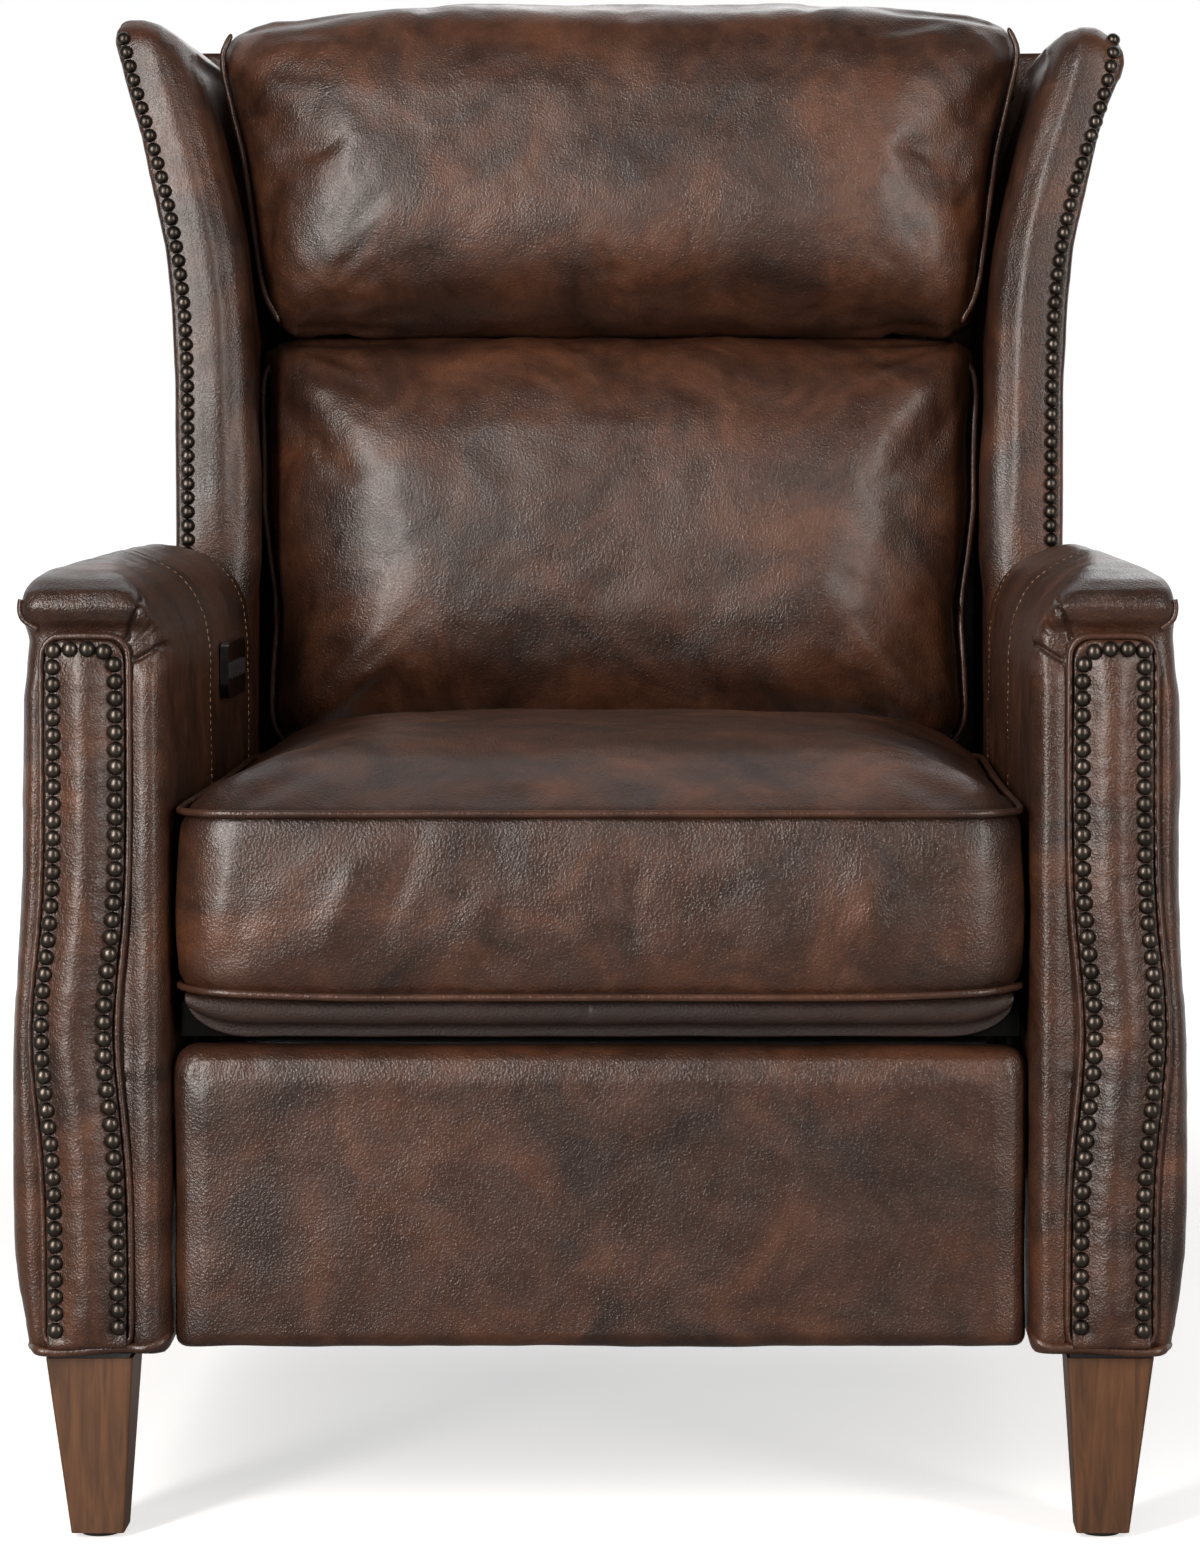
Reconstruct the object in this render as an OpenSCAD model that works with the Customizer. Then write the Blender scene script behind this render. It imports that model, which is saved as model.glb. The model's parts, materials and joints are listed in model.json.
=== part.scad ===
// Power recliner: a wingback reading chair with a motor-driven footrest, back and headrest.
// Millimetres. X is to the sitter's left seen from the front, Y runs from front to back, Z is up.
// The origin is on the floor, under the middle of the chair.
// Inside the modules Y counts from the front face of the arms. The last step moves it to the middle.

/* [Arms] */
// Half the room between the arms
arm_inner = 291; // [270:1:320]
// Width of an arm at its belly
arm_w = 109; // [100:1:125]
// Height of the underside of the arms
arm_base = 127; // [120:1:150]
// Height of the crown of the arms
arm_crown = 666; // [650:1:690]
// Length of the padded arm
arm_len = 575; // [560:1:575]
// Length of the side panels behind the padded arms
side_tail = 225; // [215:1:245]
// Thickness of the side panel behind the padded arm
side_t = 34; // [25:1:34]
// Thickness of the front panel board
panel_t = 8; // [5:0.5:12]
// Distance from the arm's outline to the outer edge of its front panel
panel_margin = 16; // [12:0.5:20]
// Width of the front panel
panel_w = 57.5; // [52:0.5:61.5]
// Height of the top edge of the front panel
panel_top = 612; // [590:1:616]
// How far the front panel swings out at the belly
panel_belly = 9.5; // [5:0.5:11]
// Diameter of the piping cord
pipe_d = 5.2; // [4:0.1:6]

/* [Legs] */
// Width of a leg at the top
leg_top = 59; // [45:1:62]
// Width of a leg at the bottom
leg_foot = 36; // [28:1:42]
// How far the outer side of a leg leans in
leg_lean = 16; // [8:1:20]
// Height of the felt glide under a leg
glide_h = 3.4; // [2:0.1:5]
// Thickness of the steel plate on top of a leg
leg_plate_t = 3; // [2:0.5:5]
// Distance from the middle of the chair to the outer side of a leg
leg_out = 376; // [365:1:380]
// Depth of the front side of the front legs
leg_front = 12; // [11:1:30]
// Distance from the front side of the rear legs to the rear end of the side panels
leg_rear_gap = 73; // [66:1:85]

/* [Seat] */
// How far the seat cushion stands out in front of the arms
seat_nose = 15; // [5:1:20]
// Height of the underside of the seat cushion
seat_base = 365; // [363:1:370]
// Height of the upper piping of the seat cushion
seat_edge = 496; // [480:1:505]
// Height of the crown of the seat cushion
seat_crown = 534; // [515:1:536]
// Distance from the rear side of the seat cushion to the rear end of the padded arms
seat_rear_gap = 11; // [10:1:20]
// Radius of the corners of the seat cushion
seat_corner = 46; // [30:1:60]
// How far the middle of each side of a cushion is drawn in
draw_in = 3; // [0:0.5:6]
// Thickness of the seat frame members
frame_h = 23.5; // [20:0.5:23.5]
// Width of the seat frame members
frame_w = 34; // [25:1:36]
// Height of the padded lip under the cushion
lip_h = 15.5; // [12:0.5:15.5]
// Wire diameter of the sinuous springs
wire_d = 3.8; // [3:0.1:4.5]

/* [Footrest] */
// Height of the lower edge of the footrest
foot_base = 130; // [129:1:135]
// Height of the upper edge of the footrest
foot_top = 335; // [325:1:336]
// Depth of the front face of the footrest
foot_face = 10; // [8:1:14]
// Thickness of the footrest pad
foot_pad_t = 36; // [30:1:36]
// Thickness of the footrest board
foot_board_t = 14; // [10:1:14]
// Gap between the footrest and each arm
foot_gap = 1.5; // [1:0.5:4]

/* [Mechanism] */
// Thickness of the link plates
link_t = 4; // [3:0.5:4]
// Width of the links
link_w = 18; // [16:0.5:18]
// Gap between neighbouring layers of links
layer_gap = 0.5; // [0.3:0.1:0.5]
// Diameter of the link rivets
rivet_d = 8; // [6:0.5:8]
// Radial clearance of the running fits
fit = 0.06; // [0.03:0.01:0.1]
// Diameter of the cross shafts
shaft_d = 18; // [16:0.5:20]
// Thickness of the side plates
plate_t = 4.5; // [4:0.5:5]
// Length of the rear links
rear_link = 170; // [166:0.5:172]
// Length of the upper links
upper_link = 135; // [130:0.5:137]
// Width of the square cross tubes
tube_w = 25; // [20:1:28]
// Width of a drive rail
rail_w = 18; // [14:1:20]
// Radius of the drive cranks
crank_r = 60; // [58:1:61]
// Length of a drive carriage
carriage_l = 30; // [24:1:32]

/* [Back] */
// Lean of the back at rest, in degrees
lean = 7; // [6:0.5:7.5]
// Depth of the room between the front of the back frame and the outside back
back_depth = 92.9; // [88:0.1:98]
// Distance from the crown of the headrest down to the top of the outside back
back_top_drop = 33; // [29:1:45]
// Height of the lower edge of the outside back
back_base = 215; // [212:1:260]
// Thickness of the outside back panel
back_panel_t = 14; // [10:1:16]
// How far the back cushion reaches in front of the rear ends of the padded arms
back_nose = 7; // [0:1:9]
// Half width of the back cushion
back_half = 286; // [275:1:288]
// Height of the lower edge of the back cushion
back_low = 486; // [484:1:530]
// Gap between the back cushion and the headrest above it
pillow_gap = 18; // [17:1:40]
// Thickness of a wing
wing_t = 60; // [50:1:61]
// Distance from the middle to the outside of a wing at the arms
wing_out = 354; // [353:1:355]
// Distance from the crown of the headrest down to the top of the wings
wing_top_drop = 25; // [21:1:38]
// Distance from the padded arms to the front edge of the wings
wing_gap = 4; // [3:0.5:15]
// Thickness of the back frame boards
post_t = 20; // [16:1:22]
// Distance from the rear ends of the padded arms to the back frame at the seat
post_gap = 125; // [123:1:130]

/* [Headrest] */
// Height of the crown of the headrest
head_top = 1111; // [1095:1:1120]
// Share of the height above the seat back's lower edge that the headrest takes
head_share = 0.4224; // [0.4:0.0001:0.426]
// Half width of the headrest at its lower edge
head_half = 281; // [265:1:285]
// How much further each end of the headrest reaches at the top
head_flare = 53; // [30:1:54]
// Thickness of the headrest board
head_board_t = 14; // [10:1:15]

/* [Control pad] */
// Length of the control pad
pad_l = 124; // [110:1:140]
// Height of the control pad
pad_h = 42; // [38:1:44]
// How far the control pad stands out of the arm
pad_t = 6; // [5:0.5:8]
// Length of a button
button_l = 14; // [10:0.5:15]
// Height of a button
button_h = 12; // [10:0.5:14]
// Travel of a button
button_travel = 1.2; // [0.8:0.1:1.5]

/* [Hidden] */

// Shared clearances and counts
seat_gap = 0.3;
overrun = 1;
leather = "saddlebrown";
steel = "dimgray";
timber = "burlywood";
pipe_r = pipe_d / 2;
arm_h = arm_crown - arm_base;
corner_steps = 4;
side_shares = [0.25, 0.5, 0.75];

// Sizes that follow the arms and the headrest
seat_rear = arm_len - seat_rear_gap;
side_len = arm_len + side_tail;
leg_rear = side_len - leg_rear_gap;
wing_front = arm_len + wing_gap;
back_front = arm_len - back_nose;
post_front = arm_len + post_gap;
head_low = head_top - head_share * (head_top - back_low);
back_high = head_low - pillow_gap;
back_top = head_top - back_top_drop;
wing_top = head_top - wing_top_drop;

// Planes of the leaning back
lean_slope = tan(lean);
frame_top = seat_base - seat_gap;
frame_base = frame_top - frame_h;
post_rise = 20;
post_foot = frame_base + post_rise;
function post_plane(z) = post_front + (z - post_foot) * lean_slope;
function panel_plane(z) = post_plane(z) + back_depth;
rear_face = panel_plane(back_top) + back_panel_t / cos(lean);
mid_depth = (rear_face - seat_nose) / 2;

// Rounded rectangle in a plane, anticlockwise, with its own radius at each corner
function ring(x0, x1, y0, y1, r, draw = 0) =
    let (cx = [x0 + r[0], x1 - r[1], x1 - r[2], x0 + r[3]],
         cy = [y0 + r[0], y0 + r[1], y1 - r[2], y1 - r[3]],
         nx = [0, 1, 0, -1],
         ny = [-1, 0, 1, 0])
    [for (k = [0:3]) let (n = (k + 1) % 4)
        each concat(
            [for (s = [0:corner_steps])
                let (a = 180 + 90 * k + 90 * s / corner_steps)
                [cx[k] + r[k] * cos(a), cy[k] + r[k] * sin(a)]],
            [for (t = side_shares)
                let (bx = cx[k] + r[k] * nx[k] + (cx[n] + r[n] * nx[k] - cx[k] - r[k] * nx[k]) * t,
                     by = cy[k] + r[k] * ny[k] + (cy[n] + r[n] * ny[k] - cy[k] - r[k] * ny[k]) * t,
                     d = draw * sin(180 * t))
                [bx - nx[k] * d, by - ny[k] * d]])];

function even_ring(x0, x1, y0, y1, r, draw = 0) = ring(x0, x1, y0, y1, [r, r, r, r], draw);

function middle(points) =
    [for (axis = [0:2]) let (v = [for (p = points) p[axis]]) (min(v) + max(v)) / 2];

// Closed skin over a stack of rings that run anticlockwise seen from the last one
module skin(rows) {
    n = len(rows[0]);
    m = len(rows);
    points = concat([for (r = rows) each r], [middle(rows[0])], [middle(rows[m - 1])]);
    sides = [for (i = [0:m - 2], j = [0:n - 1])
        let (a = i * n + j, b = i * n + (j + 1) % n, c = (i + 1) * n + (j + 1) % n, d = (i + 1) * n + j)
        each [[a, d, c], [a, c, b]]];
    low = [for (j = [0:n - 1]) [m * n, j, (j + 1) % n]];
    high = [for (j = [0:n - 1]) [m * n + 1, (m - 1) * n + (j + 1) % n, (m - 1) * n + j]];
    polyhedron(points, concat(sides, low, high), convexity = 6);
}

function unit(v) = v / norm(v);

// Tube of six sides along a closed flat loop whose plane has the given normal
module loop_tube(path, normal, r) {
    n = len(path);
    sides = 6;
    points = [for (i = [0:n - 1])
        let (along = unit(path[(i + 1) % n] - path[(i + n - 1) % n]), out = cross(along, normal))
        for (k = [0:sides - 1]) path[i] + r * (cos(60 * k) * out + sin(60 * k) * normal)];
    faces = [for (i = [0:n - 1], k = [0:sides - 1])
        let (a = i * sides + k, b = i * sides + (k + 1) % sides,
             c = ((i + 1) % n) * sides + (k + 1) % sides, d = ((i + 1) % n) * sides + k)
        each [[a, b, c], [a, c, d]]];
    polyhedron(points, faces, convexity = 8);
}

// Tube of six sides along an open flat path, cut square at both ends
module open_tube(path, normal, r) {
    n = len(path);
    sides = 6;
    points = [for (i = [0:n - 1])
        let (along = unit(path[min(i + 1, n - 1)] - path[max(i - 1, 0)]), out = cross(along, normal))
        for (k = [0:sides - 1]) path[i] + r * (cos(60 * k) * out + sin(60 * k) * normal)];
    faces = concat(
        [for (i = [0:n - 2], k = [0:sides - 1])
            let (a = i * sides + k, b = i * sides + (k + 1) % sides,
                 c = (i + 1) * sides + (k + 1) % sides, d = (i + 1) * sides + k)
            each [[a, b, c], [a, c, d]]],
        [[for (k = [0:sides - 1]) sides - 1 - k]],
        [[for (k = [0:sides - 1]) (n - 1) * sides + k]]);
    polyhedron(points, faces, convexity = 8);
}

module placed() {
    translate([0, -mid_depth, 0]) children();
}

// The right side is drawn; the left side is its mirror image
module sided(side) {
    if (side > 0) children();
    else mirror([1, 0, 0]) children();
}

module both() {
    children();
    mirror([1, 0, 0]) children();
}

module block(x0, x1, y0, y1, z0, z1) {
    translate([x0, y0, z0]) cube([x1 - x0, y1 - y0, z1 - z0]);
}

// Round bar along X between two places, at a depth and a height
module bar(x0, x1, y, z, d) {
    translate([x0, y, z]) rotate([0, 90, 0]) cylinder(d = d, h = x1 - x0, $fn = 48);
}

// Plate in the Y-Z plane from a flat outline of [y, z] points
module upright(x, t, outline) {
    translate([x, 0, 0]) rotate([90, 0, 90]) linear_extrude(t) polygon(outline);
}

// Hole along X through a plate that starts at x
module eye(x, t, p, d) {
    bar(x - overrun, x + t + overrun, p[0], p[1], d);
}

// Link plate between two eyes
module link_plate(x, a, b) {
    along = unit(b - a);
    side = [-along[1], along[0]] * link_w / 2;
    upright(x, link_t, [a - side, b - side, b + side, a + side]);
    bar(x, x + link_t, a[0], a[1], link_w);
    bar(x, x + link_t, b[0], b[1], link_w);
}

// Arms. Each row gives shares: height, inner edge, outer edge, front step and inset of the ends.
arm_row_shares = [
    [0, 0.03, 0.885, 1.25, 0.006], [0.02, 0, 0.91, 1, 0], [0.06, 0, 0.95, 1, 0],
    [0.12, 0, 0.99, 1, 0], [0.28, 0, 1, 1, 0], [0.45, 0, 0.99, 1, 0], [0.6, 0, 0.9, 1, 0],
    [0.73, 0, 0.89, 1, 0], [0.86, 0.005, 0.9, 1, 0], [0.9, 0.03, 0.925, 1, 0], [0.913, 0.045, 0.935, 1, 0],
    [0.924, 0.07, 0.945, 0.1, 0], [0.942, 0.11, 0.95, -0.45, 0], [0.962, 0.19, 0.935, 0.2, 0.006],
    [0.976, 0.28, 0.9, 2, 0.02], [0.986, 0.37, 0.82, 6, 0.05], [0.994, 0.47, 0.71, 14, 0.1],
    [1, 0.55, 0.62, 30, 0.2]];
arm_corner = 13;
side_row_shares = [
    [0, 0.885, 0], [0.02, 0.91, 0], [0.06, 0.95, 0], [0.12, 0.99, 0], [0.28, 1, 0], [0.45, 0.99, 0],
    [0.6, 0.9, 0], [0.73, 0.89, 0], [0.84, 0.895, 0.01], [0.9, 0.925, 0.05], [0.93, 0.94, 0.12],
    [0.955, 0.9, 0.2]];
side_overlap = 30;
side_gap = 2;
side_in = wing_out + side_gap;

module arm() {
    skin([for (s = arm_row_shares)
        let (z = arm_base + s[0] * arm_h,
             x0 = arm_inner + s[1] * arm_w,
             x1 = arm_inner + s[2] * arm_w,
             y0 = panel_t * s[3],
             y1 = arm_len * (1 - s[4]),
             r = min(arm_corner, (x1 - x0) * 0.45))
        [for (p = even_ring(x0, x1, y0, y1, r)) [p[0], p[1], z]]]);
    skin([for (s = side_row_shares)
        let (z = arm_base + s[0] * arm_h,
             x1 = arm_inner + s[1] * arm_w,
             y0 = arm_len - side_overlap,
             y1 = side_len - (side_len - arm_len) * s[2],
             r = arm_corner * 0.6)
        [for (p = even_ring(max(side_in, x1 - side_t), x1, y0, y1, r)) [p[0], p[1], z]]]);
}

// Front panels, whose edges swing out round the belly of the arm
belly_z = arm_base + 0.405 * arm_h;
belly_spread = 0.13 * arm_h;
panel_out = arm_inner + 0.95 * arm_w - panel_margin;
panel_in = panel_out - panel_w;
panel_low = arm_base + pipe_d + seat_gap;
panel_steps = 26;
panel_round = 14;
function swing(z) = panel_belly * exp(-pow((z - belly_z) / belly_spread, 2));
function panel_outline(off) =
    let (z0 = panel_low - off, z1 = panel_top + off, r = panel_round)
    concat(
        [for (i = [0:panel_steps]) let (z = z0 + (z1 - r - z0) * i / panel_steps)
            [panel_out + off + swing(z), z]],
        [for (a = [22.5:22.5:67.5]) [panel_out + off - r + r * cos(a), z1 - r + r * sin(a)]],
        [[panel_out + off - r, z1], [panel_in - off + r, z1]],
        [for (a = [112.5:22.5:157.5]) [panel_in - off + r + r * cos(a), z1 - r + r * sin(a)]],
        [for (i = [0:panel_steps]) let (z = z1 - r - (z1 - r - z0) * i / panel_steps)
            [panel_in - off + swing(z), z]]);

module front_panel() {
    translate([0, panel_t - seat_gap / 3, 0]) rotate([90, 0, 0])
        linear_extrude(panel_t - seat_gap / 3) polygon(panel_outline(0));
}

module panel_piping() {
    color(leather) placed() both()
        loop_tube([for (p = panel_outline(pipe_r + seat_gap / 3))
            [p[0], panel_t - pipe_r - seat_gap / 3, p[1]]], [0, -1, 0], pipe_r);
}

// Legs
leg_h = arm_base - leg_plate_t - glide_h;
leg_in = leg_out - leg_top;
leg_offset = leg_out - leg_lean - leg_foot;
module leg(side, front, foot_front) {
    sided(side) skin([
        [for (p = even_ring(leg_offset, leg_offset + leg_foot, foot_front, foot_front + leg_foot, leg_edge))
            [p[0], p[1], glide_h]],
        [for (p = even_ring(leg_in, leg_out, front, front + leg_top, leg_edge))
            [p[0], p[1], glide_h + leg_h]]]);
}
leg_edge = 2.5;
leg_set_back = 5;
rear_foot = leg_rear + leg_top - leg_foot;
glide_d = leg_foot * 0.7;
module at_feet() {
    both() for (y = [leg_front + leg_set_back, rear_foot])
        translate([leg_offset + leg_foot / 2, y + leg_foot / 2, 0]) children();
}

// Heights that the seat and the mechanism share
plate_h = 79;
plate_base = frame_base - plate_h;
foot_back = foot_face + foot_pad_t + foot_board_t + seat_gap;

// Layers of plates beside each other, from the side plate out to the arm
plate_x = 266.5;
layer_in = plate_x - layer_gap - link_t;
layer_a = plate_x + plate_t + layer_gap;
layer_b = layer_a + link_t + layer_gap;
layer_c = layer_b + link_t + layer_gap;
layer_d = layer_c + link_t + layer_gap;

// Pivots as [depth, height]. Angles turn from the front up, as the footrest opens.
function turned(angle) = [-cos(angle), sin(angle)];
rear_pivot_y = 115;
rear_pivot_drop = 16.2;
rear_pivot = [rear_pivot_y, frame_base - rear_pivot_drop];
front_pivot_y = 77.3;
front_pivot_drop = 63.8;
front_pivot = [front_pivot_y, frame_base - front_pivot_drop];
rear_rest_turn = -95;
upper_rest_turn = 80;
knee = rear_pivot + rear_link * turned(rear_rest_turn);
bracket_pivot = knee + upper_link * turned(upper_rest_turn);
tail = 30;
tail_turn = 250;
front_pin = knee + tail * turned(upper_rest_turn + tail_turn);
heel = 38;
heel_turn = 17.5;
lower_pin = knee + heel * turned(rear_rest_turn + 180 + heel_turn);
bracket_pin = bracket_pivot + heel * turned(rear_rest_turn + 180 + heel_turn);
back_pivot_gap = 65;
back_pivot_drop = 11.2;
back_pivot = [arm_len + back_pivot_gap, frame_base - back_pivot_drop];
open_slack = 1.7;
free_slack = 0.3;

// Side plates carry the links, the shafts and the seat frame
plate_nose = 9.5;
plate_end = 20;
shaft_bore = shaft_d + 2 * fit;
module side_plate() {
    difference() {
        union() {
            upright(plate_x, plate_t, [
                [front_pivot[0] - plate_nose, front_pivot[1] - plate_nose],
                [front_pivot[0] - plate_nose, front_pivot[1] + plate_nose],
                [rear_pivot[0] - plate_end * 0.6, frame_base],
                [back_pivot[0] - plate_end * 2, frame_base],
                [back_pivot[0], back_pivot[1] + plate_end],
                [back_pivot[0], back_pivot[1] - plate_end],
                [back_pivot[0] - plate_end * 3, plate_base],
                [rear_pivot[0] + plate_end * 2, plate_base]]);
            bar(plate_x, plate_x + plate_t, back_pivot[0], back_pivot[1], plate_end * 2);
            bar(layer_in, plate_x, front_pivot[0], front_pivot[1], rivet_d);
        }
        eye(plate_x, plate_t, rear_pivot, shaft_bore);
        eye(plate_x, plate_t, back_pivot, shaft_bore);
    }
}

// Cross tubes under the side plates, from arm to arm
front_tube_y = 200;
rear_tube_gap = 15;
rear_tube_y = arm_len - rear_tube_gap;
tube_wall = 2;
module cross_tube(y) {
    reach = arm_inner - seat_gap;
    difference() {
        block(-reach, reach, y - tube_w / 2, y + tube_w / 2, plate_base - tube_w, plate_base);
        block(-reach - overrun, reach + overrun, y - tube_w / 2 + tube_wall, y + tube_w / 2 - tube_wall,
            plate_base - tube_w + tube_wall, plate_base - tube_wall);
    }
}
module cross_tubes() {
    color(steel) placed() {
        cross_tube(front_tube_y);
        cross_tube(rear_tube_y);
    }
}

// Rear rail, wrapped in leather
rear_rail_h = 38;
rear_rail_t = 46;
rear_rail_y = leg_rear + (leg_top - rear_rail_t) / 2;
module rear_rail() {
    reach = side_in - seat_gap;
    color(leather) placed()
        block(-reach, reach, rear_rail_y, rear_rail_y + rear_rail_t, arm_base, arm_base + rear_rail_h);
}

// Seat frame: two side members and two end members
frame_x = 285;
frame_front = 30;
module seat_frame() {
    color(timber) placed() {
        both() block(frame_x - frame_w, frame_x, frame_front + frame_w, seat_rear - frame_w,
            frame_base, frame_top);
        block(-frame_x, frame_x, frame_front, frame_front + frame_w, frame_base, frame_top);
        block(-frame_x, frame_x, seat_rear - frame_w, seat_rear, frame_base, frame_top);
    }
}

// Sinuous spring between two depths, as a flat wave of wire
spring_pitch = 38;
spring_wave = 20;
function wave(x, y0, y1, z) =
    let (turns = round((y1 - y0) / spring_pitch), steps = turns * 4)
    concat([[x, y0, z]],
        [for (i = [0:steps])
            [x + spring_wave * sin(90 * i), y0 + wire_d + (y1 - y0 - 2 * wire_d) * i / steps, z]],
        [[x, y1, z]]);
spring_x_share = [-0.64, -0.32, 0, 0.32, 0.64];
back_spring_share = [-0.5, 0, 0.5];
module seat_springs() {
    y0 = frame_front + frame_w;
    y1 = seat_rear - frame_w;
    z = frame_top - wire_d;
    color(steel) placed() for (s = spring_x_share)
        open_tube(wave(s * frame_x, y0, y1, z), [0, 0, 1], wire_d / 2);
}

// Padded lip along the front of the seat frame, its leather wrapped down over the front member
lip_reach = 22;
lip_round = 7;
lip_wrap = 3;
module seat_lip() {
    x = arm_inner - foot_gap;
    z1 = frame_top;
    z0 = frame_top - lip_h;
    y1 = frame_front - seat_gap / 3;
    y0 = y1 - lip_reach;
    color(leather) placed() union() {
        block(-x, x, y0 + lip_round, y1, z0, z1);
        block(-x, x, y0, y1, z0 + lip_round, z1 - lip_round);
        bar(-x, x, y0 + lip_round, z0 + lip_round, lip_round * 2);
        bar(-x, x, y0 + lip_round, z1 - lip_round, lip_round * 2);
        block(-x, x, y1 - lip_wrap, y1, frame_base, z1);
    }
}

// Seat cushion. Rows give a share of the side height or crown height and an inset in piping radii.
seat_side_shares = [
    [0, 3.5], [0.012, 2.4], [0.04, 2.3], [0.09, 0.9], [0.3, 0.1], [0.5, -0.2], [0.72, 0.1],
    [0.93, 0.9], [0.975, 2.3], [1, 2.4]];
seat_crown_shares = [
    [0.1, 0.012], [0.38, 0.055], [0.62, 0.11], [0.8, 0.19], [0.92, 0.31], [0.98, 0.45], [1, 0.62]];
seat_half = arm_inner - foot_gap;
seat_side_h = seat_edge - seat_base;
seat_crown_h = seat_crown - seat_edge;
function seat_row(inset, z) =
    [for (p = even_ring(-seat_half + inset, seat_half - inset, -seat_nose + inset, seat_rear - inset,
        max(seat_corner - inset, seat_corner * 0.3), draw_in)) [p[0], p[1], z]];
module seat_cushion() {
    color(leather) placed() skin(concat(
        [for (s = seat_side_shares) seat_row(s[1] * pipe_r, seat_base + s[0] * seat_side_h)],
        [for (s = seat_crown_shares)
            seat_row(2.4 * pipe_r + s[1] * seat_half, seat_edge + s[0] * seat_crown_h)]));
}
module seat_piping() {
    color(leather) placed() for (z = [seat_base + 0.025 * seat_side_h, seat_edge])
        loop_tube([for (p = seat_row(pipe_r + seat_gap / 3, z)) p], [0, 0, 1], pipe_r);
}

// Control pad on the inner face of the left arm, with its buttons and its socket
pad_y = 390;
pad_z = 574;
pad_well = 3;
button_round = 2;
button_proud = 2;
button_gap = 0.4;
usb_w = 14;
usb_h = 6;
button_step = 21;
button_y = [for (i = [0:4]) pad_y - 2.45 * button_step + button_step * i];
usb_y = pad_y + 2.3 * button_step;
pad_face = arm_inner - seat_gap - pad_t;
module rounded_plate(w, h, r, t) {
    linear_extrude(t) union() {
        square([w - 2 * r, h], center = true);
        square([w, h - 2 * r], center = true);
        for (x = [-1, 1], y = [-1, 1]) translate([x * (w / 2 - r), y * (h / 2 - r)]) circle(r = r, $fn = 32);
    }
}
// Turns a plate on the floor into one that faces the sitter from the left arm
module on_pad(y, depth) {
    translate([-pad_face - depth, y, pad_z]) rotate([90, 0, 90]) children();
}
module control_pad() {
    gap = button_gap;
    color("black") placed() difference() {
        on_pad(pad_y, pad_t) rounded_plate(pad_l, pad_h, pad_h * 0.3, pad_t);
        for (y = button_y) on_pad(y, pad_well)
            rounded_plate(button_l + 2 * gap, button_h + 2 * gap, button_round + gap, pad_well + overrun);
        on_pad(usb_y, pad_well) rounded_plate(usb_w, usb_h, button_round, pad_well + overrun);
    }
}
module button(i) {
    color("dimgray") placed() on_pad(button_y[i], pad_well - button_travel - seat_gap)
        rounded_plate(button_l, button_h, button_round, pad_well - button_travel - seat_gap + button_proud);
}
module usb_socket() {
    gap = button_gap / 4;
    color("silver") placed() on_pad(usb_y, pad_well) difference() {
        rounded_plate(usb_w - 2 * gap, usb_h - 2 * gap, button_round * 0.9, pad_well - seat_gap);
        translate([0, 0, pad_well / 2])
            rounded_plate(usb_w * 0.7, usb_h * 0.5, button_round * 0.5, pad_well);
    }
}

// Drives: a rail that hangs under the cross tubes, a gearbox and motor beside it, and a carriage
drive_top = plate_base - tube_w;
drive_low = drive_top - rail_w;
drive_pin_d = 8;
drive_clear = 0.4;
carriage_wall = 6;
fork_t = 5;
fork_play = 5;
fork_slot = drive_pin_d + fork_play;
gearbox_l = 70;
gearbox_w = 46;
gearbox_h = 52;
motor_d = 42;
motor_l = 105;
back_drive_x = 150;
foot_drive_x = 0;
foot_stroke = 2 * crank_r * sin(45);
foot_pin_y = rear_pivot[0] + crank_r * sin(45);
back_swing = 17.5;
back_pin_y = back_pivot[0] + crank_r * sin(back_swing);
module drive_rail(x, y0, y1) {
    difference() {
        block(x - rail_w / 2, x + rail_w / 2, y0, y1, drive_low, drive_top);
        block(x - rail_w / 2 + tube_wall, x + rail_w / 2 - tube_wall, y0 - overrun, y1 + overrun,
            drive_low + tube_wall, drive_top - tube_wall);
    }
}
module drive_motor(x, y) {
    union() {
        block(x + rail_w / 2, x + rail_w / 2 + gearbox_w, y, y + gearbox_l,
            drive_top - gearbox_h, drive_top - tube_wall);
        translate([x + (rail_w + gearbox_w) / 2, y, drive_top - tube_wall - gearbox_h / 2])
            rotate([90, 0, 0]) cylinder(d = motor_d, h = motor_l, $fn = 64);
    }
}
// Carriage round the rail with an upright slotted plate that the crank pin rides in
module carriage(x, y, pin_low, pin_high) {
    half = rail_w / 2 + drive_clear;
    wide = half + carriage_wall;
    head = pin_high + drive_pin_d;
    color("gray") placed() difference() {
        union() {
            block(x - wide, x + wide, y - carriage_l / 2, y + carriage_l / 2,
                drive_low - drive_clear - carriage_wall, drive_top + drive_clear + carriage_wall);
            block(x + link_t, x + link_t + fork_t, y - carriage_l / 2, y + carriage_l / 2,
                drive_top, head);
        }
        block(x - half, x + half, y - carriage_l, y + carriage_l,
            drive_low - drive_clear, drive_top + drive_clear);
        block(x + link_t - overrun, x + link_t + fork_t + overrun, y - fork_slot / 2, y + fork_slot / 2,
            pin_low - drive_pin_d / 2 - overrun, pin_high + drive_pin_d / 2 + overrun);
    }
}
// Crank on a shaft with a pin that reaches into the slotted plate
module crank(x, pivot, pin) {
    along = unit(pin - pivot);
    side = [-along[1], along[0]] * link_w / 2;
    upright(x - link_t, link_t, [pivot - side, pin - side, pin + side, pivot + side]);
    bar(x - link_t, x, pin[0], pin[1], link_w);
    bar(x - link_t, x + link_t + fork_t, pin[0], pin[1], drive_pin_d);
}

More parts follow.
